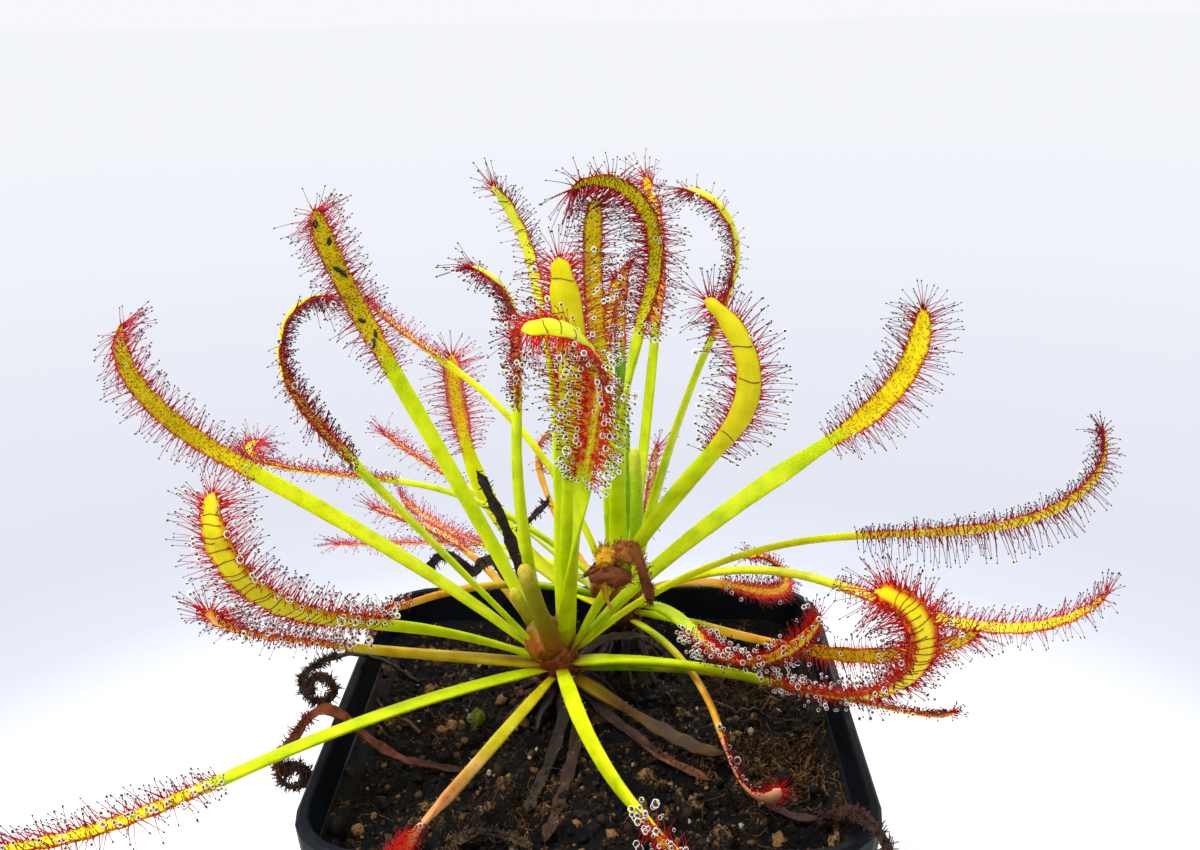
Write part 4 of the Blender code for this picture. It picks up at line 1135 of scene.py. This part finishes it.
# x, y, radius and tone of single clods, bits of grit and tufts of moss
CLODS = ((-32, 16.3, 0.9, 0.72), (-38, -24.6, 1.1, 0.72), (-2.3, -23.5, 0.8, 0.73), (8.5, -20, 0.8, 0.72),
         (30.3, -27.1, 1.2, 0.68), (6.4, -7.5, 0.5, 0.88), (-21.6, 6.8, 1.5, 0.95), (-22.8, 7.6, 0.9, 0.92),
         (-14.5, -10.7, 0.6, 0.95), (9.2, -20.8, 0.5, 0.74), (-24.6, 6.2, 0.9, 0.78), (-26.4, 6.1, 1.3, 0.76),
         (-28, 4.6, 1.1, 0.75), (-29.4, 3.4, 0.8, 0.74), (21, -24, 0.5, 0.72), (-36, -21, 0.6, 0.7),
         (24, 3, 0.6, 0.74), (14, -28, 0.6, 0.7), (-12, -30, 0.5, 0.8), (33, 20, 0.8, 0.7),
         (-18, 30, 0.9, 0.7), (-6.6, 11.2, 1.0, 0.94), (-40, 8, 1.0, 0.6), (12, -14, 0.9, 0.56))
# dead roots and moss stalks, thickest in a mat on the right: how many, their spread and middle, the range of
# their length, how high they arch, and the range of their radius
FIBRES = ((420, None, (0, 0), (2.0, 8.0), 0.9, (0.05, 0.12)),
          (420, (5.0, 5.5), (32, -8), (2.5, 8.0), 3.2, (0.07, 0.17)),
          (160, (7, 6), (27, 18), (3.0, 12.0), 2.4, (0.05, 0.12)),
          (120, (7, 9), (-14, -12), (1.0, 3.5), 1.4, (0.05, 0.1)),
          (190, (2.6, 1.6), (-26.6, 5.6), (0.8, 2.6), 1.6, (0.06, 0.13)),
          (70, (1.6, 1.4), (-10.8, -21.6), (1.0, 3.0), 1.6, (0.06, 0.12)))
# x and y of three thick roots across the top, and their radii
ROOTS = (((-32, -35, -39, -42.2), (3.8, 7.2, 8.6, 10.9), 0.36),
         ((22.3, 25.9, 32.2, 35), (13.9, 9.2, 10.5, 13.7), 0.42),
         ((25.5, 30, 35.5, 39.5), (-16, -12.5, -10.5, -5), 0.4))


def scatter_litter(surface, inside):
    """Loose crumbs, clods, fibres and roots on the peat."""
    rng = np.random.default_rng(LITTER_SEED)
    crumbs = crumb_material()
    height = lambda x, y: np.vectorize(surface)(x, y)[0]

    def scatter(number, spread=None, middle=(0, 0)):
        spots = []
        while len(spots) < number:
            x, y = rng.uniform(-inside, inside, 2) if spread is None else rng.normal(middle, spread)
            if abs(x) < inside and abs(y) < inside and abs(x) + abs(y) < 2 * inside - 6:
                spots.append((x, y, surface(x, y)[0]))
        return np.array(spots)

    spots = scatter(GRAINS)
    size = np.exp(rng.normal(math.log(0.36), 0.5, GRAINS))
    tone = rng.choice([0.05, 0.2, 0.4, 0.56, 0.7, 0.86], GRAINS, p=[0.3, 0.25, 0.24, 0.15, 0.05, 0.01])
    grains = Shape("tone")
    lump, faces = ball(5, 3)
    for spot, s, t in zip(spots, size, tone):
        stretch = rng.uniform(0.6, 1.4, 3) * s
        shaped = lump * stretch * (1 + rng.uniform(-0.35, 0.35, (len(lump), 1)))
        grains.add(shaped + spot + (0, 0, 0.15 * s), faces, t)
    lump, faces = ball(14, 9)
    for x, y, s, t in CLODS:
        bumps = [noise.fractal(Vector(v) * 1.7 + Vector((x, y, 0)), 1.0, 2.2, 3) for v in lump]
        bulge = 1 + 0.4 * np.array(bumps)
        shaped = lump * rng.uniform(0.8, 1.3, 3) * s * bulge[:, None]
        grains.add(shaped + (x, y, surface(x, y)[0] + 0.3 * s), faces, t)
    grains.piece("peat_grains", crumbs, "peat")

    fibres = Shape("tone")
    for number, spread, middle, long, tall, thick in FIBRES:
        spots = scatter(number, spread, middle)
        heading = rng.uniform(0, math.tau, number)
        length = rng.uniform(*long, number)
        turn = rng.normal(0, 1.5, number)
        paths = []
        for t in np.linspace(0, 1, 8):
            bearing = heading + turn * t + 0.9 * np.sin(5 * t + heading * 3)
            step = np.stack([np.cos(bearing), np.sin(bearing)], 1) * (length * t * (1 - 0.2 * t))[:, None]
            x, y = np.clip((spots[:, :2] + step).T, -inside, inside)
            lift = np.sin(math.pi * t) * rng.uniform(0, tall, number) * 0.6
            paths.append(np.stack([x, y, height(x, y) + lift - (0.25 if t in (0.0, 1.0) else 0.0)], 1))
        width = rng.uniform(*thick, number)[:, None] * np.array([0, 1, 1, .95, .9, .8, .7, 0])
        tone = rng.choice([0.25, 0.42, 0.55, 0.62, 0.68], number)[:, None]
        lay_tubes(fibres, np.stack(paths, 1), width, 3, tone)
    for *axes, size in ROOTS:
        at = np.linspace(0, 3, 15)
        x, y = (np.interp(at, range(4), axis) for axis in axes)
        x, y = x + 0.5 * np.sin(at * 2.6), y + 0.5 * np.cos(at * 2.1)
        z = height(x, y) + 0.5 + 0.7 * np.sin(at * 1.1) ** 2
        width = size * (0.8 + 0.3 * np.sin(at * 3.1))
        lay_tubes(fibres, np.stack([x, y, z], 1)[None], width[None], 7, 0.6)
    fibres.piece("peat_fibres", crumbs, "peat")


def finish_pot():
    """Satin black plastic with dust and fine scratches."""
    p = Paint("pot_gloss")
    where, scratch = p.place(0.03), p.noise(p.place(0.9, 0.9, 0.02))
    dust = p.span(p.noise(where, 8.0, 0.7, 4.0), 0.52, 0.75)
    speckle = p.times(p.span(p.cells(p.place(0.5)), 0.05, 0.1, 0.6, 0.0), p.span(dust, 0.1, 0.6))
    body = p.ramp(p.noise(where, 2.0, scale=1.5), (0.3, 0.7), "#050a10 #09111a")
    dusty = p.mix(p.times(dust, 0.18), body, "#52483e")
    p.set(Base_Color=p.mix(speckle, dusty, "#786856"), Specular_IOR_Level=0.1,
          Roughness=p.plus(p.span(scratch, 0.3, 0.7, 0.46, 0.58), p.times(dust, 0.3)))
    materials = frame["nodes"]["pot"].data.materials
    materials.clear()
    materials.append(p.bump(p.plus(scratch, p.times(dust, 0.5)), 0.06, 0.35).material)


scatter_litter(*build_peat())
finish_pot()


# ---------------------------------------------------------------- floor and light
# where each lamp hangs, its size and its power
LAMPS = {"key": ((-0.35, -0.25, 0.75), 0.35, 6.0), "back": ((0.25, 0.55, 0.6), 0.5, 4.0)}


def make_floor():
    size = 12.0
    mesh = bpy.data.meshes.new("floor")
    corners = [(-size, -size, 0), (size, -size, 0), (size, size, 0), (-size, size, 0)]
    mesh.from_pydata(corners, [], [(0, 1, 2, 3)])
    floor = add_object("floor", mesh)
    p = Paint("floor_paper", Roughness=0.9, Specular_IOR_Level=0.1)
    here = p.add("TexCoord", {}, "Object")
    far = p.add("VectorMath", {0: here}, "Value", operation="LENGTH")
    far = p.plus(far, p.times(p.noise(here, 2.0, 0.5, 3.0), 0.02))
    # painted light: the paper is painted white round the pot, greyer a little further out and paler again far
    # off, as light falling off across the floor
    paper_with_painted_light = p.ramp(p.span(far, 0.0, 2.0), (0.0, 0.09, 0.125, 0.2, 0.45, 1.0),
                   "#fefefe #fefeff #e1e5f1 #e7eaf5 #eff2fa #f3f5fa")
    p.set(Base_Color=paper_with_painted_light)
    # seen directly, the paper shows its colour with the painted light in it, and the object's real shadow on it
    share = p.times(p.seen(), p.span(far, 0.10, 0.32, 0.45, 1.0))
    glow = p.add("Emission", {"Color": paper_with_painted_light, "Strength": 1.0})
    blend = p.add("MixShader", {0: share, 1: p.shader.outputs[0], 2: glow})
    p.put(next(n for n in p.tree.nodes if n.type == "OUTPUT_MATERIAL").inputs["Surface"], blend)
    mesh.materials.append(p.material)


def make_light():
    p = Paint("studio", "worlds", "BACKGROUND", Color="#f7f8fc")
    p.set(Strength=p.span(p.seen(), 0.0, 1.0, 0.62, 1.0))
    bpy.context.scene.world = p.material
    aim = Vector((0, 0, 0.1))
    for name, (at, size, power) in LAMPS.items():
        lamp = bpy.data.lights.new(name, "AREA")
        lamp.size, lamp.energy = size, power
        holder = add_object(name, lamp)
        holder.location = at
        holder.rotation_euler = (aim - Vector(at)).to_track_quat("-Z", "Y").to_euler()


make_floor()
make_light()
bpy.context.scene.view_settings.view_transform = "Standard"
